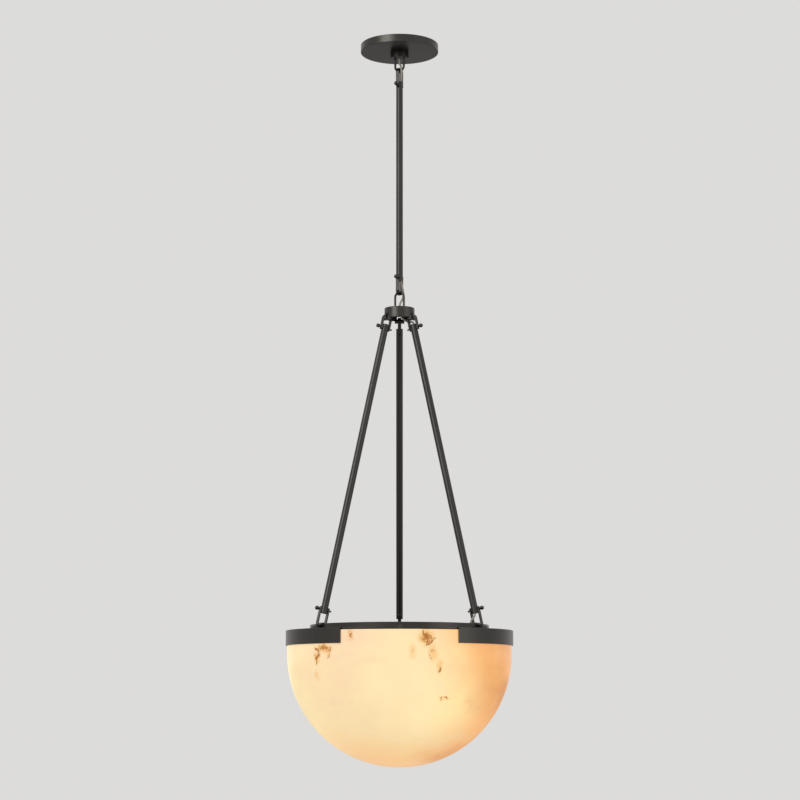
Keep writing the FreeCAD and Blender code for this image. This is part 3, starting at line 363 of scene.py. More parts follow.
@dataclass(frozen=True)
class Alabaster(Finish):
    """Polished alabaster lit from inside: clouds, veils, brown veins, a glow about each lamp, and painted shade
    that turns the right side and the bottom deeper orange.
    """
    stone: Colour
    dim_glow: Colour
    mid_glow: Colour
    bright_glow: Colour
    # Painted shade: deeper orange glows and stone tints for the right side and the bottom, deepest at the far
    # right.
    painted_shade_glow: Colour
    deep_painted_shade_glow: Colour
    painted_shade_tint: Colour
    deep_painted_shade_tint: Colour
    vein_tone: Colour
    stain_tone: Colour
    radius: float
    rim: float
    lamps: tuple[Point, ...]
    veins: tuple[Vein, ...]
    glow_strength: float = 1.0

    def lit(self, graph: Graph, place: Signal) -> Signal:
        """How brightly the lamps shine through, from 0 to about 1.

        Args:
            graph: the material's nodes.
            place: the point in the object's own coordinates.

        Returns:
            The lamps' shares, added up.
        """
        total: Term = 0.0
        for lamp in self.lamps:
            away = graph.vector("DISTANCE", place, lamp, output="Value") / GLOW_REACH
            total = total + 1.0 / (1.0 + away * away * away * away)
        return total

    def cracks(self, graph: Graph, wall: Signal, scale: float, width: Signal) -> Signal:
        """Lines where the cells of a broken pattern meet, drawn out along the drop.

        Args:
            graph: the material's nodes.
            wall: the point on the unrolled wall.
            scale: cells to a metre.
            width: half the lines' width, as a share of a cell.

        Returns:
            A mask, 1 on the lines.
        """
        tall = graph.stretched(wall, (1.0, 0.55, 1.0))
        border = graph.node("ShaderNodeTexVoronoi", {"feature": "DISTANCE_TO_EDGE", "voronoi_dimensions": "2D"},
                            {"Vector": tall, "Scale": scale}, "Distance")
        return (width - border).ramp(-0.02, 0.02)

    def veining(self, graph: Graph, place: Signal, across: Signal,
                height: Signal) -> tuple[Signal, Signal]:
        """Masks of the veins on the wall, which is unrolled and then bent by noise.

        Args:
            graph: the material's nodes.
            place: the point in the object's own coordinates.
            across: that point's X.
            height: that point's Z.

        Returns:
            The thin dark lines, and the tan stain about them, each from 0 to 1.
        """
        deep = graph.node("ShaderNodeSeparateXYZ", {}, {"Vector": place}, "Y")
        around = graph.maths("ARCTAN2", deep, across) * self.radius
        wall = graph.node("ShaderNodeCombineXYZ", {}, {"X": around, "Y": height}, "Vector")
        drift = graph.vector("SUBTRACT", graph.noise(place, 60.0, 5.0, 0.65, "Color"), (0.5, 0.5, 0.5))
        bent = graph.vector("ADD", wall, graph.vector("MULTIPLY", drift, (VEIN_DRIFT, VEIN_DRIFT, 0.0)))
        patches: Term = 0.0
        for vein in self.veins:
            middle = (math.radians(vein.azimuth) * self.radius, self.rim - vein.drop * MM, 0.0)
            share = graph.vector("DIVIDE", graph.vector("SUBTRACT", bent, middle),
                                 (vein.reach[0] * MM, vein.reach[1] * MM, 1.0))
            shown = graph.vector("LENGTH", share, output="Value").ramp(1.0, 0.0) * vein.strength
            patches = graph.maths("MAXIMUM", patches, shown)
        beads = graph.noise(place, 150.0, 3.0, 0.6)
        coarse = self.cracks(graph, bent, COARSE_CELLS, beads * 0.17 - 0.035) * patches.ramp(0.04, 0.32)
        fine = self.cracks(graph, bent, FINE_CELLS, beads * 0.32 - 0.10) * patches.ramp(0.28, 0.7) * 0.8
        knot = (patches + (beads - 0.5) * 0.7).ramp(0.6, 0.85) * 0.75
        lines = graph.maths("MAXIMUM", graph.maths("MAXIMUM", coarse, fine), knot)
        return lines, (patches * 1.25).clamped()

    def paint(self, graph: Graph) -> None:
        """Glow, clouds, veins and painted shade in one colour, which also tints the stone itself; the painted
        shade makes the right side and the bottom deeper orange.

        Args:
            graph: the material's nodes.
        """
        place = graph.place()
        cloud = graph.noise(graph.stretched(place, (1.0, 1.0, 1.6)), 8.0, 4.0, 0.55)
        veil = graph.noise(graph.stretched(place, (1.0, 1.0, 2.4)), 26.0, 5.0, 0.6)
        across = graph.node("ShaderNodeSeparateXYZ", {}, {"Vector": place}, "X")
        height = graph.node("ShaderNodeSeparateXYZ", {}, {"Vector": place}, "Z")
        lines, stains = self.veining(graph, place, across, height)

        light = self.lit(graph, place) + (cloud - 0.5) * 0.7 + (veil - 0.5) * 0.28
        # Painted shade: the glow and the stone's colour turn deeper orange towards the right side, away from
        # the key light on the left, and towards the bottom; at the far right the bright glow is held back.
        side = across + (cloud - 0.5) * 0.16 + (veil - 0.5) * 0.05
        low = (self.rim - height + (cloud - 0.5) * 0.10).ramp(0.17, 0.27)
        painted_shade = (side.ramp(0.02, 0.17) * 0.9 + low * 0.55).clamped()
        deep_painted_shade = (side.ramp(0.13, 0.25) * 0.85 + low * side.ramp(0.0, 0.12) * 0.5).clamped()
        glow = graph.mix(self.dim_glow, self.mid_glow, light.ramp(0.0, 0.55))
        glow = graph.mix(glow, self.painted_shade_glow, painted_shade)
        glow = graph.mix(glow, self.bright_glow, light.ramp(0.42, 1.0) * (1.0 - deep_painted_shade))
        glow = graph.mix(glow, self.deep_painted_shade_glow, deep_painted_shade)
        glow = graph.mix(glow, self.stain_tone, stains, "MULTIPLY")
        glow = graph.mix(glow, self.vein_tone, lines, "MULTIPLY")
        stone = graph.mix(self.stone, self.painted_shade_tint, painted_shade, "MULTIPLY")
        stone = graph.mix(stone, self.deep_painted_shade_tint, deep_painted_shade, "MULTIPLY")
        stone = graph.mix(stone, self.stain_tone, stains, "MULTIPLY")
        stone = graph.mix(stone, self.vein_tone, lines, "MULTIPLY")
        graph.dress(
            Base_Color=stone,
            Roughness=(0.24 + veil * 0.10 + lines * 0.15).clamped(),
            Coat_Weight=0.15,
            Emission_Color=glow,
            Emission_Strength=self.glow_strength,
            Normal=graph.bump(veil, 0.4 * MM, 0.12))


BRONZE = Metal("satin_dark_bronze", Slot.BRONZE, (0.074, 0.070, 0.065), (0.046, 0.043, 0.040),
               (0.27, 0.25, 0.23), 0.36)
BRONZE_TURNED = Metal("turned_dark_bronze", Slot.BRONZE, (0.080, 0.075, 0.070), (0.050, 0.047, 0.043),
                      (0.32, 0.30, 0.27), 0.31, (30.0, 30.0, 420.0))
ZINC = Metal("zinc_plate", Slot.ZINC, (0.56, 0.56, 0.54), (0.42, 0.42, 0.42), (0.75, 0.74, 0.72), 0.34)
EARTH = Metal("green_passivated_steel", Slot.EARTH, (0.05, 0.26, 0.11), (0.03, 0.16, 0.07),
              (0.3, 0.45, 0.3), 0.38)
CAP_METAL = Metal("bulb_cap_metal", Slot.LAMP_CAP, (0.74, 0.72, 0.68), (0.60, 0.57, 0.52),
                  (0.9, 0.88, 0.84), 0.25)
RUBBER = Moulded("black_rubber_moulding", Slot.RUBBER, (0.018, 0.018, 0.018), (0.05, 0.048, 0.046), 0.62)
JACKET = Moulded("lead_jacket_skin", Slot.JACKET, (0.46, 0.43, 0.36), (0.66, 0.62, 0.53), 0.34,
                 2200.0, 0.04 * MM)
SOCKET_SHELL = Moulded("moulded_socket_shell", Slot.SOCKET, (0.020, 0.020, 0.021), (0.05, 0.05, 0.05), 0.4)
BULB_GLASS = FrostedGlass("frosted_bulb_glass", Slot.GLASS, (0.86, 0.82, 0.74), (1.0, 0.78, 0.48), 2.5)


# --------------------------------------------------------------------------------------------------
# Pieces
# --------------------------------------------------------------------------------------------------
def frame_at(origin: Iterable[float], across: Vector, up: Vector) -> Matrix:
    """A local frame from its origin, X and Z."""
    turned = Matrix((across, up.cross(across), up)).transposed().to_4x4()
    return Matrix.Translation(Vector(origin)) @ turned


def arc(centre: tuple[float, float], radius: float, start: float, end: float,
        steps: int) -> list[tuple[float, float]]:
    """Points of a profile's arc, from one angle in degrees to another, both ends included.

    Args:
        centre: the middle of the arc.
        radius: its radius.
        start: the first angle.
        end: the last angle.
        steps: how many straight runs it has.

    Returns:
        The points in order.
    """
    angles = [math.radians(start + (end - start) * step / steps) for step in range(steps + 1)]
    return [(centre[0] + radius * math.cos(angle), centre[1] + radius * math.sin(angle))
            for angle in angles]


def region(faces: Iterable[bmesh.types.BMFace]) -> list[object]:
    """Faces with their edges and corners, as the operators take them."""
    faces = list(faces)
    return faces + list({e for f in faces for e in f.edges}) + list({v for f in faces for v in f.verts})


def of_kind(geometry: Iterable[object], kind: type) -> list[object]:
    """The corners, edges or faces among an operator's results."""
    return [item for item in geometry if isinstance(item, kind)]


class Piece:
    """One named piece of the pendant while its mesh is made, one solid after another."""

    def __init__(self, name: str) -> None:
        """Start a piece with an empty mesh."""
        self.name = name
        self.mesh = bmesh.new()

    def take(self, solid: bmesh.types.BMesh, spot: Matrix = STILL) -> "Piece":
        """Put a finished solid where it belongs and add it to the piece.

        Args:
            solid: the finished solid.
            spot: the local frame that it goes to.

        Returns:
            The piece itself.
        """
        bmesh.ops.transform(solid, matrix=spot, verts=solid.verts)
        shape = bpy.data.meshes.new("solid")
        solid.to_mesh(shape)
        solid.free()
        self.mesh.from_mesh(shape)
        bpy.data.meshes.remove(shape)
        return self

    def turned(self, profile: Profile, spot: Matrix = STILL, steps: int = 64, bevel: float = 0.0,
               spare: Callable[[bmesh.types.BMEdge], bool] | None = None) -> "Piece":
        """Add a solid turned about Z.

        Args:
            profile: (radius, height) corners; it closes on itself unless both ends are on the axis.
            spot: where the solid goes.
            steps: faces round the axis.
            bevel: width of the edges' rounding.
            spare: picks edges that stay sharp.

        Returns:
            The piece itself.
        """
        solid = bmesh.new()
        corners = [solid.verts.new((radius, 0.0, height)) for radius, height in profile]
        closing = [(corners[-1], corners[0])] if profile[0][0] > 0 or profile[-1][0] > 0 else []
        for pair in list(zip(corners, corners[1:])) + closing:
            solid.edges.new(pair)
        bmesh.ops.spin(solid, geom=solid.verts[:] + solid.edges[:], cent=(0, 0, 0), axis=(0, 0, 1),
                       angle=math.tau, steps=steps, use_merge=True)
        bmesh.ops.remove_doubles(solid, verts=solid.verts, dist=1e-7)
        bmesh.ops.recalc_face_normals(solid, faces=solid.faces)
        soften(solid, bevel, spare=spare)
        return self.take(solid, spot)

    def hairpin(self, section: "Section", spread: float, bend: float, tip: float,
                spot: Matrix = STILL) -> "Piece":
        """Add a bar bent to a U in the XZ plane.

        Args:
            section: the bar's section.
            spread: distance of the bar's middle from the U's axis.
            bend: height of the bend's centre.
            tip: height of both ends.
            spot: where the solid goes.

        Returns:
            The piece itself.
        """
        solid = section.face()
        bmesh.ops.translate(solid, vec=(spread, 0, tip), verts=solid.verts)
        leg = bmesh.ops.extrude_face_region(solid, geom=region(solid.faces))["geom"]
        bmesh.ops.translate(solid, vec=(0, 0, bend - tip), verts=of_kind(leg, bmesh.types.BMVert))
        turn = bmesh.ops.spin(solid, geom=region(of_kind(leg, bmesh.types.BMFace)), cent=(0, 0, bend),
                              axis=(0, -1, 0), angle=math.pi, steps=section.bend_steps)
        last = region(of_kind(turn["geom_last"], bmesh.types.BMFace))
        leg = bmesh.ops.extrude_face_region(solid, geom=last)["geom"]
        bmesh.ops.translate(solid, vec=(0, 0, tip - bend), verts=of_kind(leg, bmesh.types.BMVert))
        bmesh.ops.recalc_face_normals(solid, faces=solid.faces)
        section.ease(solid, tip)
        return self.take(solid, spot)

    def packed(self, node: str, bevel: float = 0.0) -> "Piece":
        """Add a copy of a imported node's shape, its triangles merged and its flat faces made whole.

        Args:
            node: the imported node's name.
            bevel: how wide its edges are eased.

        Returns:
            The piece itself.
        """
        solid = bmesh.new()
        solid.from_mesh(frame["nodes"][node].data)
        bmesh.ops.remove_doubles(solid, verts=solid.verts, dist=2e-6)
        bmesh.ops.dissolve_limit(solid, angle_limit=math.radians(0.6), verts=solid.verts,
                                 edges=solid.edges, use_dissolve_boundaries=False)
        soften(solid, bevel)
        return self.take(solid)

    def finish(self, finish: Finish, body: str, *nodes: str) -> bpy.types.Object:
        """Make the object, dress it and tie it to the frame.

        Args:
            finish: its surface.
            body: the body that it rides on.
            nodes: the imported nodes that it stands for.

        Returns:
            The piece's object.
        """
        made = self.made(finish, *nodes)
        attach(made, body)
        return made

    def made(self, finish: Finish, *nodes: str) -> bpy.types.Object:
        """Make and dress the object without tying it to a body.

        Args:
            finish: what it is dressed in.

        Returns:
            The new object.
        """
        shape = bpy.data.meshes.new(self.name)
        self.mesh.to_mesh(shape)
        self.mesh.free()
        shape.polygons.foreach_set("use_smooth", [True] * len(shape.polygons))
        shape.set_sharp_from_angle(angle=math.radians(40))
        shape.materials.append(finish.material())
        made = bpy.data.objects.new(self.name, shape)
        bpy.context.collection.objects.link(made)
        level = made.modifiers.new("even_normals", "WEIGHTED_NORMAL")
        level.keep_sharp = True
        if nodes:
            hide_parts(*nodes)
        log.info("%s: %d faces, %s", self.name, len(shape.polygons), finish.name)
        return made


def soften(solid: bmesh.types.BMesh, width: float, sharper_than: float = 32.0,
           spare: Callable[[bmesh.types.BMEdge], bool] | None = None) -> None:
    """Round a solid's sharp edges.

    Args:
        solid: the solid.
        width: width of the rounding, or 0 for none.
        sharper_than: least angle of an edge that is rounded, in degrees.
        spare: picks edges that stay sharp.
    """
    limit = math.radians(sharper_than)
    sharp = [edge for edge in solid.edges if edge.is_manifold and edge.calc_face_angle() > limit
             and not (spare and spare(edge))]
    if width > 0 and sharp:
        bmesh.ops.bevel(solid, geom=sharp, offset=width, segments=3, profile=0.5, affect="EDGES",
                        material=-1, clamp_overlap=True)


@dataclass(frozen=True)
class Section:
    """The section of a bar that is bent to a U."""
    bend_steps: int

    def face(self) -> bmesh.types.BMesh:
        """A new solid that holds the section as one face, about the origin in the XY plane."""
        raise NotImplementedError

    def ease(self, solid: bmesh.types.BMesh, tip: float) -> None:
        """Round the bent bar's edges."""
        raise NotImplementedError


@dataclass(frozen=True)
class Strap(Section):
    """Flat strap with rounded ends."""
    thickness: float = 3 * MM
    width: float = 7 * MM
    tip_round: float = 2.6 * MM
    edge_round: float = 0.55 * MM

    def face(self) -> bmesh.types.BMesh:
        """A rectangle, thin along X.

        Returns:
            The face, in the XY plane.
        """
        solid = bmesh.new()
        bmesh.ops.create_grid(solid, x_segments=1, y_segments=1, size=0.5)
        bmesh.ops.scale(solid, vec=(self.thickness, self.width, 1), verts=solid.verts)
        return solid

    def ease(self, solid: bmesh.types.BMesh, tip: float) -> None:
        """Round the corners of both tips, then every edge.

        Args:
            solid: the bent bar.
            tip: height of both ends.
        """
        corners = [edge for edge in solid.edges
                   if all(abs(v.co.z - tip) < 1e-6 and abs(abs(v.co.y) - self.width / 2) < 1e-6
                          for v in edge.verts)]
        bmesh.ops.bevel(solid, geom=corners, offset=self.tip_round, segments=6, profile=0.5,
                        affect="EDGES", material=-1)
        soften(solid, self.edge_round)


@dataclass(frozen=True)
class RoundBar(Section):
    """Round bar."""
    diameter: float = 4.5 * MM
    sides: int = 24

    def face(self) -> bmesh.types.BMesh:
        """A disc.

        Returns:
            The face, in the XY plane.
        """
        solid = bmesh.new()
        bmesh.ops.create_circle(solid, cap_ends=True, segments=self.sides, radius=self.diameter / 2)
        return solid

    def ease(self, solid: bmesh.types.BMesh, tip: float) -> None:
        """Nothing is left sharp that shows."""


# --------------------------------------------------------------------------------------------------
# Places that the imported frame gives
# --------------------------------------------------------------------------------------------------
JOINTS = {joint["name"]: joint for joint in frame["record"]["behaviour"]["joints"]}
LEG_NAMES = ("left", "right", "back")


def joint_place(name: str) -> Vector:
    """Where a joint is."""
    return Vector(JOINTS[name]["pos_m"])


def joint_axis(name: str) -> Vector:
    """A joint's axis."""
    return Vector(JOINTS[name]["axis"]).normalized()


def top_of(node: str) -> float:
    """Height of a node's top."""
    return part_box(node)[1][2]


def bottom_of(node: str) -> float:
    """Height of a node's bottom."""
    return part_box(node)[0][2]


def link_frame(height: float) -> Matrix:
    """The frame of the hanging loops, whose X lies in their plane, at a height on the axis."""
    along_pins = joint_axis("stem_swing")
    return frame_at((0, 0, height), along_pins.cross(Vector((0, 0, 1))), Vector((0, 0, 1)))


def pin_frame(height: float) -> Matrix:
    """The frame of a link's pin, whose X runs to the pin's knob."""
    return frame_at((0, 0, height), -joint_axis("stem_swing"), Vector((0, 0, 1)))


def leg_frame(leg: str, foot: bool) -> Matrix:
    """The frame of a leg's upper or foot pin: X runs to the pin's knob and Z up the rod."""
    upper, lower = joint_place(leg + "_rod_swing"), joint_place(leg + "_foot_swing")
    return frame_at(lower if foot else upper, joint_axis(leg + "_rod_swing"), (upper - lower).normalized())


# --------------------------------------------------------------------------------------------------
# Hardware that repeats
# --------------------------------------------------------------------------------------------------
@dataclass(frozen=True)
class Shackle:
    """A strap shackle or bail with its knobbed pin."""
    reach: float
    gap: float = 15 * MM
    tip: float = 5.5 * MM
    strap: Strap = Strap(28)
    pin_diameter: float = 3.4 * MM
    pin_tail: float = 5 * MM
    neck: float = 1.9 * MM
    neck_diameter: float = 5.4 * MM
    knob: float = 8.4 * MM

    def add_strap(self, piece: Piece, spot: Matrix) -> None:
        """Add the strap, pin axis along the spot's X and bend up its Z."""
        piece.hairpin(self.strap, (self.gap + self.strap.thickness) / 2, self.reach - self.gap / 2,
                      -self.tip, spot)

    def add_pin(self, piece: Piece, spot: Matrix) -> None:
        """Add the pin, its knob towards the spot's X.

        Args:
            piece: the piece that takes it.
            spot: the pin's local frame.
        """
        side = self.gap / 2 + self.strap.thickness
        shank, neck, knob = self.pin_diameter / 2, self.neck_diameter / 2, self.knob / 2
        start = side + self.neck
        ball = arc((0, start + knob), knob, -math.degrees(math.acos(0.8)) , 90, 14)
        flange = 0.7 * MM
        profile = [(0, -side - self.pin_tail), (shank, -side - self.pin_tail), (shank, side),
                   (neck, side), (neck, side + flange), (neck * 0.78, side + flange * 1.5),
                   (neck * 0.78, start - 0.1 * MM), (neck * 0.9, start + 0.1 * knob), *ball[:-1],
                   (0, start + self.knob)]
        to_x = Matrix.Rotation(math.pi / 2, 4, "Y")
        piece.turned(profile, spot @ to_x, 40, 0.25 * MM,
                     lambda edge: max(v.co.z for v in edge.verts) > start + 0.3 * knob)


@dataclass(frozen=True)
class Tube:
    """A round tube with cut ends."""
    outer: float = 14 * MM
    wall: float = 1 * MM
    overhang: float = 7 * MM
    edge: float = 0.25 * MM

    def add(self, piece: Piece, spot: Matrix, span: float) -> None:
        """Add a tube that hangs from its upper pin at the spot.

        Args:
            piece: the piece that takes it.
            spot: the upper pin's local frame.
            span: from the upper pin to the lower one.
        """
        outside, inside = self.outer / 2, self.outer / 2 - self.wall
        top, bottom = self.overhang, -span - self.overhang
        piece.turned([(inside, bottom), (outside, bottom), (outside, top), (inside, top)], spot, 64,
                     self.edge)


# --------------------------------------------------------------------------------------------------
# Sub-assemblies
# --------------------------------------------------------------------------------------------------
@dataclass
class Canopy:
    """The ceiling canopy with its collar, hanging loop and hidden hanger."""
    wall: float = 1.6 * MM
    edge: float = 0.8 * MM
    nipple_hole: float = 5.3 * MM
    collar_mouth: float = 3.25 * MM
    tapped: float = 5.05 * MM
    tapped_depth: float = 9.3 * MM
    loop_gap: float = 15.2 * MM
    loop_socket: float = 5 * MM
    bar: RoundBar = RoundBar(32)

    def build(self) -> None:
        """Build and dress every piece of the canopy."""
        self.pan()
        self.collar()
        self.loop()
        for node, finish in (("ceiling_crossbar", ZINC), ("hanger_nipple", ZINC),
                             ("nipple_locknut", ZINC), ("ground_screw", EARTH)):
            Piece(node + "_dressed").packed(node, 0.25 * MM).finish(finish, "canopy", node)

    def pan(self) -> None:
        """The shallow turned pan."""
        low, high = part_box("canopy")
        radius, bottom, floor = high[0], low[2], low[2] + self.wall
        Piece("canopy_pan").turned([
            (self.nipple_hole, bottom), (radius, bottom), (radius, 0), (radius - self.wall, 0),
            (radius - self.wall, floor), (self.nipple_hole, floor)], steps=160, bevel=self.edge
        ).finish(BRONZE_TURNED, "canopy", "canopy")

    def collar(self) -> None:
        """The collar that the loop is set in."""
        low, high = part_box("loop_collar")
        radius, bottom, top = high[0], low[2], high[2]
        shoulder = top - self.tapped_depth
        Piece("collar").turned([
            (self.collar_mouth, bottom), (radius, bottom), (radius, top), (self.tapped, top),
            (self.tapped, shoulder), (self.collar_mouth, shoulder)], steps=96, bevel=self.edge
        ).finish(BRONZE_TURNED, "canopy", "loop_collar")

    def loop(self) -> None:
        """The round bar loop that hangs from the collar."""
        low, top = bottom_of("canopy_loop"), bottom_of("loop_collar")
        bend = top - low - self.bar.diameter - self.loop_gap / 2
        hang = link_frame(top) @ HALF_TURN
        Piece("hanging_loop").hairpin(self.bar, (self.loop_gap + self.bar.diameter) / 2, bend,
                                      -self.loop_socket, hang).finish(BRONZE, "canopy", "canopy_loop")


@dataclass
class Links:
    """The two strap shackles that join canopy, stem and hub."""
    shackle: Shackle = Shackle(34 * MM)

    def build(self) -> None:
        """Build both links."""
        upper = pin_frame(joint_place("stem_swing").z)
        lower = pin_frame(joint_place("lower_shackle_swing").z)
        for end, body, pin, strap in (("upper", "upper_link", upper, upper),
                                      ("lower", "lower_link", lower, lower @ HALF_TURN)):
            piece = Piece(end + "_strap")
            self.shackle.add_strap(piece, strap)
            piece.finish(BRONZE, body, end + "_shackle")
            piece = Piece(end + "_knobbed_pin")
            self.shackle.add_pin(piece, pin)
            piece.finish(BRONZE_TURNED, body, end + "_pin")


@dataclass
class Stem:
    """The stem tube and its plugs."""
    tube: Tube = Tube()

    def build(self) -> None:
        """Build the stem."""
        top = joint_place("stem_swing").z
        piece = Piece("stem")
        self.tube.add(piece, pin_frame(top), top - joint_place("lower_shackle_swing").z)
        piece.finish(BRONZE, "stem", "stem_tube")
        Piece("stem_end_plugs").packed("stem_plugs", 0.2 * MM).finish(ZINC, "stem", "stem_plugs")


@dataclass
class Hub:
    """The hub with its standing loop, lead grommet and three bails."""
    loop_gap: float = 15.2 * MM
    loop_socket: float = 5 * MM
    bar: RoundBar = RoundBar(32)
    bail: Shackle = Shackle(27 * MM)

    def build(self) -> None:
        """Build the hub."""
        Piece("hub").packed("hub_cup", 0.6 * MM).finish(BRONZE_TURNED, "hub", "hub_cup")
        Piece("hub_lead_grommet").packed("hub_grommet", 0.2 * MM).finish(RUBBER, "hub", "hub_grommet")
        top, high = top_of("hub_cup"), top_of("hub_loop")
        bend = high - top - self.bar.diameter - self.loop_gap / 2
        Piece("standing_loop").hairpin(self.bar, (self.loop_gap + self.bar.diameter) / 2, bend,
                                       -self.loop_socket, link_frame(top)
                                       ).finish(BRONZE, "hub", "hub_loop")
        pins = Piece("bail_knobbed_pins")
        for leg in LEG_NAMES:
            piece = Piece(leg + "_bail_strap")
            self.bail.add_strap(piece, leg_frame(leg, foot=False))
            piece.finish(BRONZE, "hub", leg + "_bail")
            self.bail.add_pin(pins, leg_frame(leg, foot=False))
        pins.finish(BRONZE_TURNED, "hub", "bail_pins")


@dataclass
class Leg:
    """One slanted rod with its plugs, foot shackle and foot pin."""
    name: str
    tube: Tube = Tube()
    foot: Shackle = Shackle(35.5 * MM)

    def build(self) -> None:
        """Build the leg."""
        upper, lower = leg_frame(self.name, foot=False), leg_frame(self.name, foot=True)
        span = (upper.translation - lower.translation).length
        rod = Piece(self.name + "_slanted_rod")
        self.tube.add(rod, upper, span)
        rod.finish(BRONZE, self.name + "_leg", self.name + "_rod")
        Piece(self.name + "_rod_end_plugs").packed(self.name + "_rod_plugs", 0.2 * MM).finish(
            ZINC, self.name + "_leg", self.name + "_rod_plugs")
        strap = Piece(self.name + "_foot_strap")
        self.foot.add_strap(strap, lower @ HALF_TURN)
        strap.finish(BRONZE, self.name + "_foot", self.name + "_foot_shackle")
        pin = Piece(self.name + "_foot_knobbed_pin")
        self.foot.add_pin(pin, lower)
        pin.finish(BRONZE_TURNED, self.name + "_foot", self.name + "_foot_pin")


@dataclass
class Crown:
    """The crown disc, the rim plate with its skirts, and what fastens bowl and plate."""
    edge: float = 0.7 * MM

    def build(self) -> None:
        """Build the crown."""
        Piece("crown").packed("crown_disc", self.edge).finish(BRONZE_TURNED, "crown", "crown_disc")
        Piece("skirted_rim_plate").packed("rim_plate", self.edge).finish(
            BRONZE_TURNED, "crown", "rim_plate")
        for node, finish in (("crown_screws", BRONZE), ("bracket_bolts", BRONZE),
                             ("bowl_brackets", ZINC), ("bracket_dowels", ZINC),
                             ("rim_gasket", RUBBER), ("crown_grommet", RUBBER)):
            Piece(node + "_dressed").packed(node, 0.25 * MM).finish(finish, "crown", node)


@dataclass
class Bowl:
    """The alabaster bowl: a hemisphere with a short straight lip."""
    wall: float = 11 * MM
    rim_edge: float = 1.5 * MM
    arc_steps: int = 72
    round_steps: int = 224

    def build(self, stone: Alabaster) -> None:
        """Turn the bowl and give it its stone.

        Args:
            stone: the finish.
        """
        low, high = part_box("alabaster_bowl")
        radius, centre = high[0], low[2] + high[0]
        outside = arc((0, centre), radius, -90, 0, self.arc_steps)
        inside = arc((0, centre), radius - self.wall, 0, -90, self.arc_steps)
        outside[0], inside[-1] = (0.0, centre - radius), (0.0, centre - radius + self.wall)
        Piece("veined_bowl").turned([*outside, (radius, high[2]), (radius - self.wall, high[2]), *inside],
                                    steps=self.round_steps, bevel=self.rim_edge
                                    ).finish(stone, "crown", "alabaster_bowl")


@dataclass
class Lamps:
    """The lamp cluster under the crown, with three sockets and bulbs."""
    turns: tuple[float, ...] = (290.0, 50.0, 170.0)
    tilt: float = 30.0
    globe_distance: float = 129.3 * MM
    centre_drop: float = 45.6 * MM

    def globe_places(self) -> tuple[Point, ...]:
        """Where the middles of the three globes are.

        Returns:
            The middles, in metres.
        """
        reach = self.globe_distance * math.cos(math.radians(self.tilt))
        height = (top_of("crown_disc") - self.centre_drop
                  - self.globe_distance * math.sin(math.radians(self.tilt)))
        return tuple((reach * math.cos(math.radians(turn)), reach * math.sin(math.radians(turn)), height)
                     for turn in self.turns)

    def build(self) -> None:
        """Dress the lamps."""
        for node, finish, edge in (
                ("lamp_stem", ZINC, 0.2), ("lamp_stem_nuts", ZINC, 0.3), ("cluster_body", BRONZE, 0.5),
                ("cluster_cover", BRONZE, 0.4), ("socket_arms", ZINC, 0.2), ("sockets", SOCKET_SHELL, 0.4),
                ("bulb_caps", CAP_METAL, 0.2), ("bulb_globes", BULB_GLASS, 0.0)):
            Piece(node + "_dressed").packed(node, edge * MM).finish(finish, "crown", node)


# --------------------------------------------------------------------------------------------------
# Supply lead
# --------------------------------------------------------------------------------------------------
@dataclass(frozen=True)
class Stretch:
    """One stretch of the supply lead, from its route in a frame turned about Z."""
    node: str
    turn: float                                     # degrees about Z
    route: tuple[Point, ...]                        # millimetres
    bodies: tuple[str, ...]                         # the bodies along it, from top to bottom
    shares: tuple[float, ...] = ()                  # heights in millimetres where it passes between them


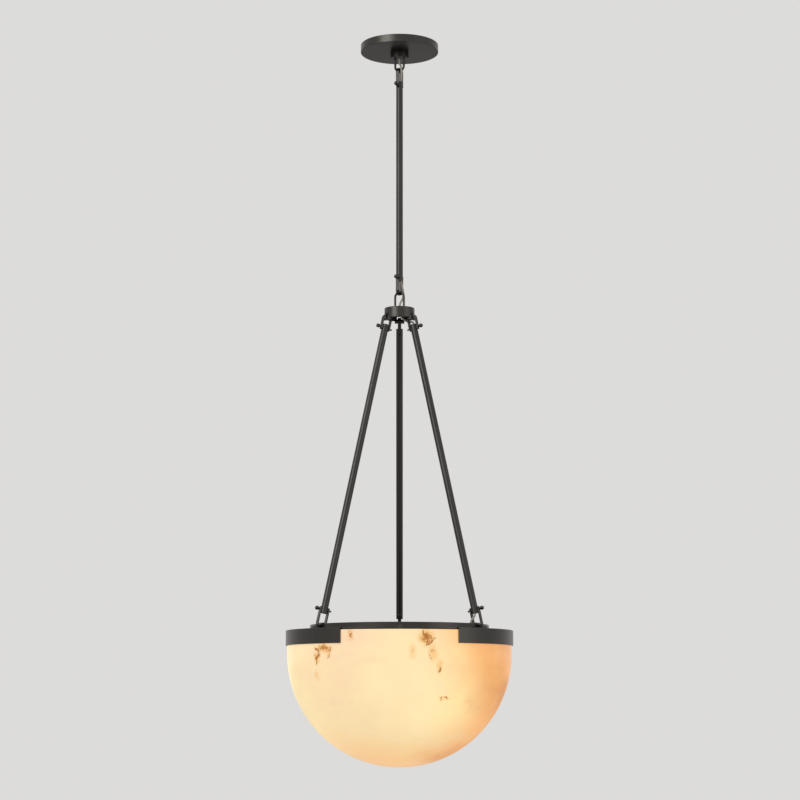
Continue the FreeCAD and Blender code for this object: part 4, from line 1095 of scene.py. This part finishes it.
@dataclass
class Lead:
    """The supply lead, one smooth flexible cord laid stretch by stretch."""
    diameter: float = 4 * MM
    stretches: tuple[Stretch, ...] = ()

    def line(self, stretch: Stretch) -> bpy.types.Mesh:
        """The round skin along a stretch's smooth line.

        Args:
            stretch: the stretch to make.

        Returns:
            The mesh, where it belongs.
        """
        curve = bpy.data.curves.new(stretch.node, "CURVE")
        curve.dimensions = "3D"
        curve.bevel_depth = self.diameter / 2
        curve.bevel_resolution = 5
        curve.use_fill_caps = True
        spline = curve.splines.new("NURBS")
        spline.points.add(len(stretch.route) - 1)
        turn = Matrix.Rotation(math.radians(stretch.turn), 4, "Z")
        for control, point in zip(spline.points, stretch.route):
            control.co = (*(turn @ (Vector(point) * MM)), 1.0)
        spline.order_u = 3
        spline.use_endpoint_u = True
        spline.resolution_u = 12
        holder = bpy.data.objects.new(stretch.node, curve)
        bpy.context.collection.objects.link(holder)
        skin = bpy.data.meshes.new_from_object(
            holder.evaluated_get(bpy.context.evaluated_depsgraph_get()))
        bpy.data.objects.remove(holder)
        bpy.data.curves.remove(curve)
        return skin

    def build(self) -> None:
        """Lay every stretch."""
        for stretch in self.stretches:
            skin = self.line(stretch)
            if len(stretch.bodies) < 3:
                self.lay(stretch.node + "_cord", skin, stretch.bodies, stretch.shares, stretch.node)
                continue
            bottom, middle, top = stretch.shares
            for part, bodies, shares in (("upper", stretch.bodies[:2], (top, middle)),
                                         ("lower", stretch.bodies[1:], (middle, bottom))):
                self.lay("%s_%s_cord" % (stretch.node, part), skin, bodies, shares, stretch.node,
                         middle * MM, part == "upper")

    def lay(self, name: str, skin: bpy.types.Mesh, bodies: tuple[str, ...], shares: tuple[float, ...],
            node: str, cut: float | None = None, keep_above: bool = True) -> None:
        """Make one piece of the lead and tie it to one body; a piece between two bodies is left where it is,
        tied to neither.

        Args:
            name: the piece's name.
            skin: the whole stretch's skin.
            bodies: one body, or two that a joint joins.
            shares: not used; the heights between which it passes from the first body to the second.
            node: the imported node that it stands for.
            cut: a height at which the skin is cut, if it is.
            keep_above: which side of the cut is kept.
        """
        piece = Piece(name)
        piece.mesh.from_mesh(skin)
        bmesh.ops.remove_doubles(piece.mesh, verts=piece.mesh.verts, dist=1e-7)
        if cut is not None:
            halved = bmesh.ops.bisect_plane(
                piece.mesh, geom=region(piece.mesh.faces), plane_co=(0, 0, cut), plane_no=(0, 0, 1),
                clear_inner=keep_above, clear_outer=not keep_above)["geom_cut"]
            bmesh.ops.edgeloop_fill(piece.mesh, edges=of_kind(halved, bmesh.types.BMEdge))
        made = piece.made(JACKET, node)
        if len(bodies) == 1:
            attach(made, bodies[0])
            return
        shares[0] * MM
        shares[1] * MM
        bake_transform(made)


# --------------------------------------------------------------------------------------------------
# Studio
# --------------------------------------------------------------------------------------------------
@dataclass
class Studio:
    """A pale floor and backdrop, soft lights, and the camera."""
    floor_height: float = -2.6
    floor_size: float = 40.0
    floor_light: float = 0.42
    floor_colour: Colour = (0.72, 0.71, 0.70)
    backdrop_colour: Colour = (0.72, 0.715, 0.705)
    backdrop_light: float = 0.5
    lens: float = 96.75
    camera_place: Point = (0.001, -4.35, -1.3767)
    camera_tilt: float = 8.2

    def build(self) -> None:
        """Set up the studio."""
        self.floor()
        self.world()
        self.lights()
        self.camera()

    def floor(self) -> None:
        """A wide plain floor under the pendant."""
        solid = bmesh.new()
        bmesh.ops.create_grid(solid, x_segments=1, y_segments=1, size=self.floor_size / 2)
        bmesh.ops.translate(solid, vec=(0, 0, self.floor_height), verts=solid.verts)
        shape = bpy.data.meshes.new("floor")
        solid.to_mesh(shape)
        solid.free()
        paint = bpy.data.materials.new("pale_floor")
        graph = Graph(paint)
        seen = graph.node("ShaderNodeLightPath", output="Is Camera Ray")
        graph.dress(Base_Color=self.floor_colour, Roughness=0.9, Emission_Color=self.floor_colour,
                    Emission_Strength=seen * self.floor_light)
        shape.materials.append(paint)
        floor = bpy.data.objects.new("floor", shape)
        bpy.context.collection.objects.link(floor)

    def world(self) -> None:
        """The backdrop: pale to the camera and in reflections, softer as a light."""
        world = bpy.data.worlds.new("studio")
        world.use_nodes = True
        bpy.context.scene.world = world
        nodes, links = world.node_tree.nodes, world.node_tree.links
        back = nodes["Background"]
        back.inputs["Color"].default_value = (*self.backdrop_colour, 1.0)
        path = nodes.new("ShaderNodeLightPath")
        seen = path.outputs["Is Camera Ray"]
        for kind in ("Is Glossy Ray", "Is Transmission Ray"):
            either = nodes.new("ShaderNodeMath")
            either.operation = "MAXIMUM"
            links.new(seen, either.inputs[0])
            links.new(path.outputs[kind], either.inputs[1])
            seen = either.outputs[0]
        level = nodes.new("ShaderNodeMapRange")
        level.inputs["To Min"].default_value = self.backdrop_light
        links.new(seen, level.inputs["Value"])
        links.new(level.outputs[0], back.inputs["Strength"])

    def lights(self) -> None:
        """A broad key from the front left, a weak fill from the right and one from above."""
        for name, place, size, power in (("key", (-2.6, -3.2, 0.9), 2.2, 62.0),
                                         ("fill", (3.4, -2.2, -0.6), 2.6, 16.0),
                                         ("above", (0.3, 1.2, 2.6), 2.4, 26.0)):
            lamp = bpy.data.lights.new(name, "AREA")
            lamp.size = size
            lamp.energy = power
            holder = bpy.data.objects.new(name, lamp)
            holder.location = place
            holder.rotation_euler = (Vector((0, 0, -0.9)) - Vector(place)).to_track_quat("-Z", "Y").to_euler()
            holder.visible_camera = False
            bpy.context.collection.objects.link(holder)

    def camera(self) -> None:
        """A camera just below the bowl's rim, tilted up."""
        lens = bpy.data.cameras.new("camera")
        lens.lens = self.lens
        lens.sensor_width = 36.0
        holder = bpy.data.objects.new("camera", lens)
        holder.location = self.camera_place
        holder.rotation_euler = (math.radians(90 + self.camera_tilt), 0, 0)
        bpy.context.collection.objects.link(holder)
        bpy.context.scene.camera = holder
        bpy.context.scene.view_settings.view_transform = "Standard"


VEINS = (
    Vein(-77.0, 15, (22, 24), 1.0),
    Vein(-73.5, 44, (13, 26), 0.6),
    Vein(-70.0, 70, (10, 20), 0.5),
    Vein(-84.0, 42, (13, 20), 0.5),
    Vein(-131.0, 36, (34, 13), 1.0),
    Vein(-135.5, 54, (10, 18), 0.95),
    Vein(-128.0, 48, (9, 13), 0.7),
    Vein(-136.0, 88, (10, 14), 0.45),
    Vein(-114.8, 12, (8, 15), 0.85),
    Vein(-64.7, 132, (22, 7), 0.4),
    Vein(18.0, 42, (24, 32), 0.85),
    Vein(98.0, 36, (32, 22), 0.95),
    Vein(152.0, 84, (18, 30), 0.75),
    Vein(55.0, 125, (14, 28), 0.5),
)

LINK_TURN, LEG_TURN = -25.6, 330.0
LEAD_ROUTES = (
    Stretch("lead_canopy", LINK_TURN, ((0, 0, -1), (0, 0, -10), (0, 0, -20), (0, 0, -29)), ("canopy",)),
    Stretch("lead_upper", LINK_TURN, (
        (0, 0, -29), (0, 0, -33.5), (0.9, -0.7, -38.5), (3.5, -2.7, -44), (6.5, -5, -50.2),
        (7, -4.8, -58.55), (5.2, -1.5, -67.05), (3.85, 0, -74.25), (3.85, 0, -78.85)),
        ("canopy", "upper_link", "stem"), (-78, -56, -30)),
    Stretch("lead_stem", LINK_TURN, (
        (3.85, 0, -78.85), (3.85, 0, -200), (3.85, 0, -380), (3.85, 0, -502.35)), ("stem",)),
    Stretch("lead_lower", LINK_TURN, (
        (3.85, 0, -502.35), (3.85, 0, -506.95), (5.2, 2.2, -515.15), (6.5, 4.8, -524.35),
        (6.6, 5, -532.49), (4.6, 3.2, -540.99), (1.3, 0.9, -547.79), (0, 0, -552.99), (0, 0, -558.49)),
        ("stem", "lower_link", "hub"), (-557, -526, -503)),
    Stretch("lead_hub", LEG_TURN, (
        (0, 0, -558.49), (0, 0, -568.99), (4.2, 3.2, -579.99), (14.5, 6.3, -587.79),
        (24.2, 6.4, -589.09), (31.34, 3.85, -591.52), (32.52, 3.85, -596.48)), ("hub",)),
    Stretch("lead_rod", LEG_TURN, (
        (32.52, 3.85, -596.48), (38.77, 3.85, -622.75), (167.05, -3.85, -1161.85),
        (173.3, -3.85, -1188.12)), ("right_leg",)),
    Stretch("lead_foot", LEG_TURN, (
        (173.3, -3.85, -1188.12), (174.27, -3.85, -1192.2), (172.4, -7.4, -1197.38),
        (169, -11, -1202.18), (169, -11, -1206.88)), ("crown",)),
    Stretch("lead_crown", LEG_TURN, (
        (169, -11, -1206.88), (169, -11, -1222.08), (158.5, -10, -1235.08), (137, -9, -1244.58),
        (107, -8, -1249.58), (78, -6.5, -1247.08), (54, -4, -1237.78), (36, -2, -1232.78),
        (21.5, -0.5, -1236.78), (16, 0, -1249.78), (16, 0, -1263.78)), ("crown",)),
)


def main() -> None:
    """Build every sub-assembly in order, then the studio."""
    logging.basicConfig(level=logging.INFO, format="%(name)s: %(message)s")
    Canopy().build()
    Links().build()
    Stem().build()
    Hub().build()
    for leg in LEG_NAMES:
        Leg(leg).build()
    Crown().build()
    lamps = Lamps()
    lamps.build()
    low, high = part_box("alabaster_bowl")
    Bowl().build(Alabaster(
        "lit_alabaster", Slot.ALABASTER, stone=(0.60, 0.50, 0.38), dim_glow=(0.558, 0.323, 0.197),
        # Painted shade: the bowl's right side and bottom get deeper orange glows and stone tints.
        mid_glow=(0.633, 0.478, 0.217), bright_glow=(0.791, 0.619, 0.301), painted_shade_glow=(0.70, 0.28, 0.06),
        deep_painted_shade_glow=(0.36, 0.10, 0.02), painted_shade_tint=(0.97, 0.78, 0.47), deep_painted_shade_tint=(0.92, 0.80, 0.62),
        vein_tone=(0.48, 0.27, 0.12), stain_tone=(0.90, 0.68, 0.38), radius=high[0], rim=high[2],
        lamps=lamps.globe_places(), veins=VEINS))
    Lead(stretches=LEAD_ROUTES).build()
    Studio().build()


if __name__ == "__main__":
    main()
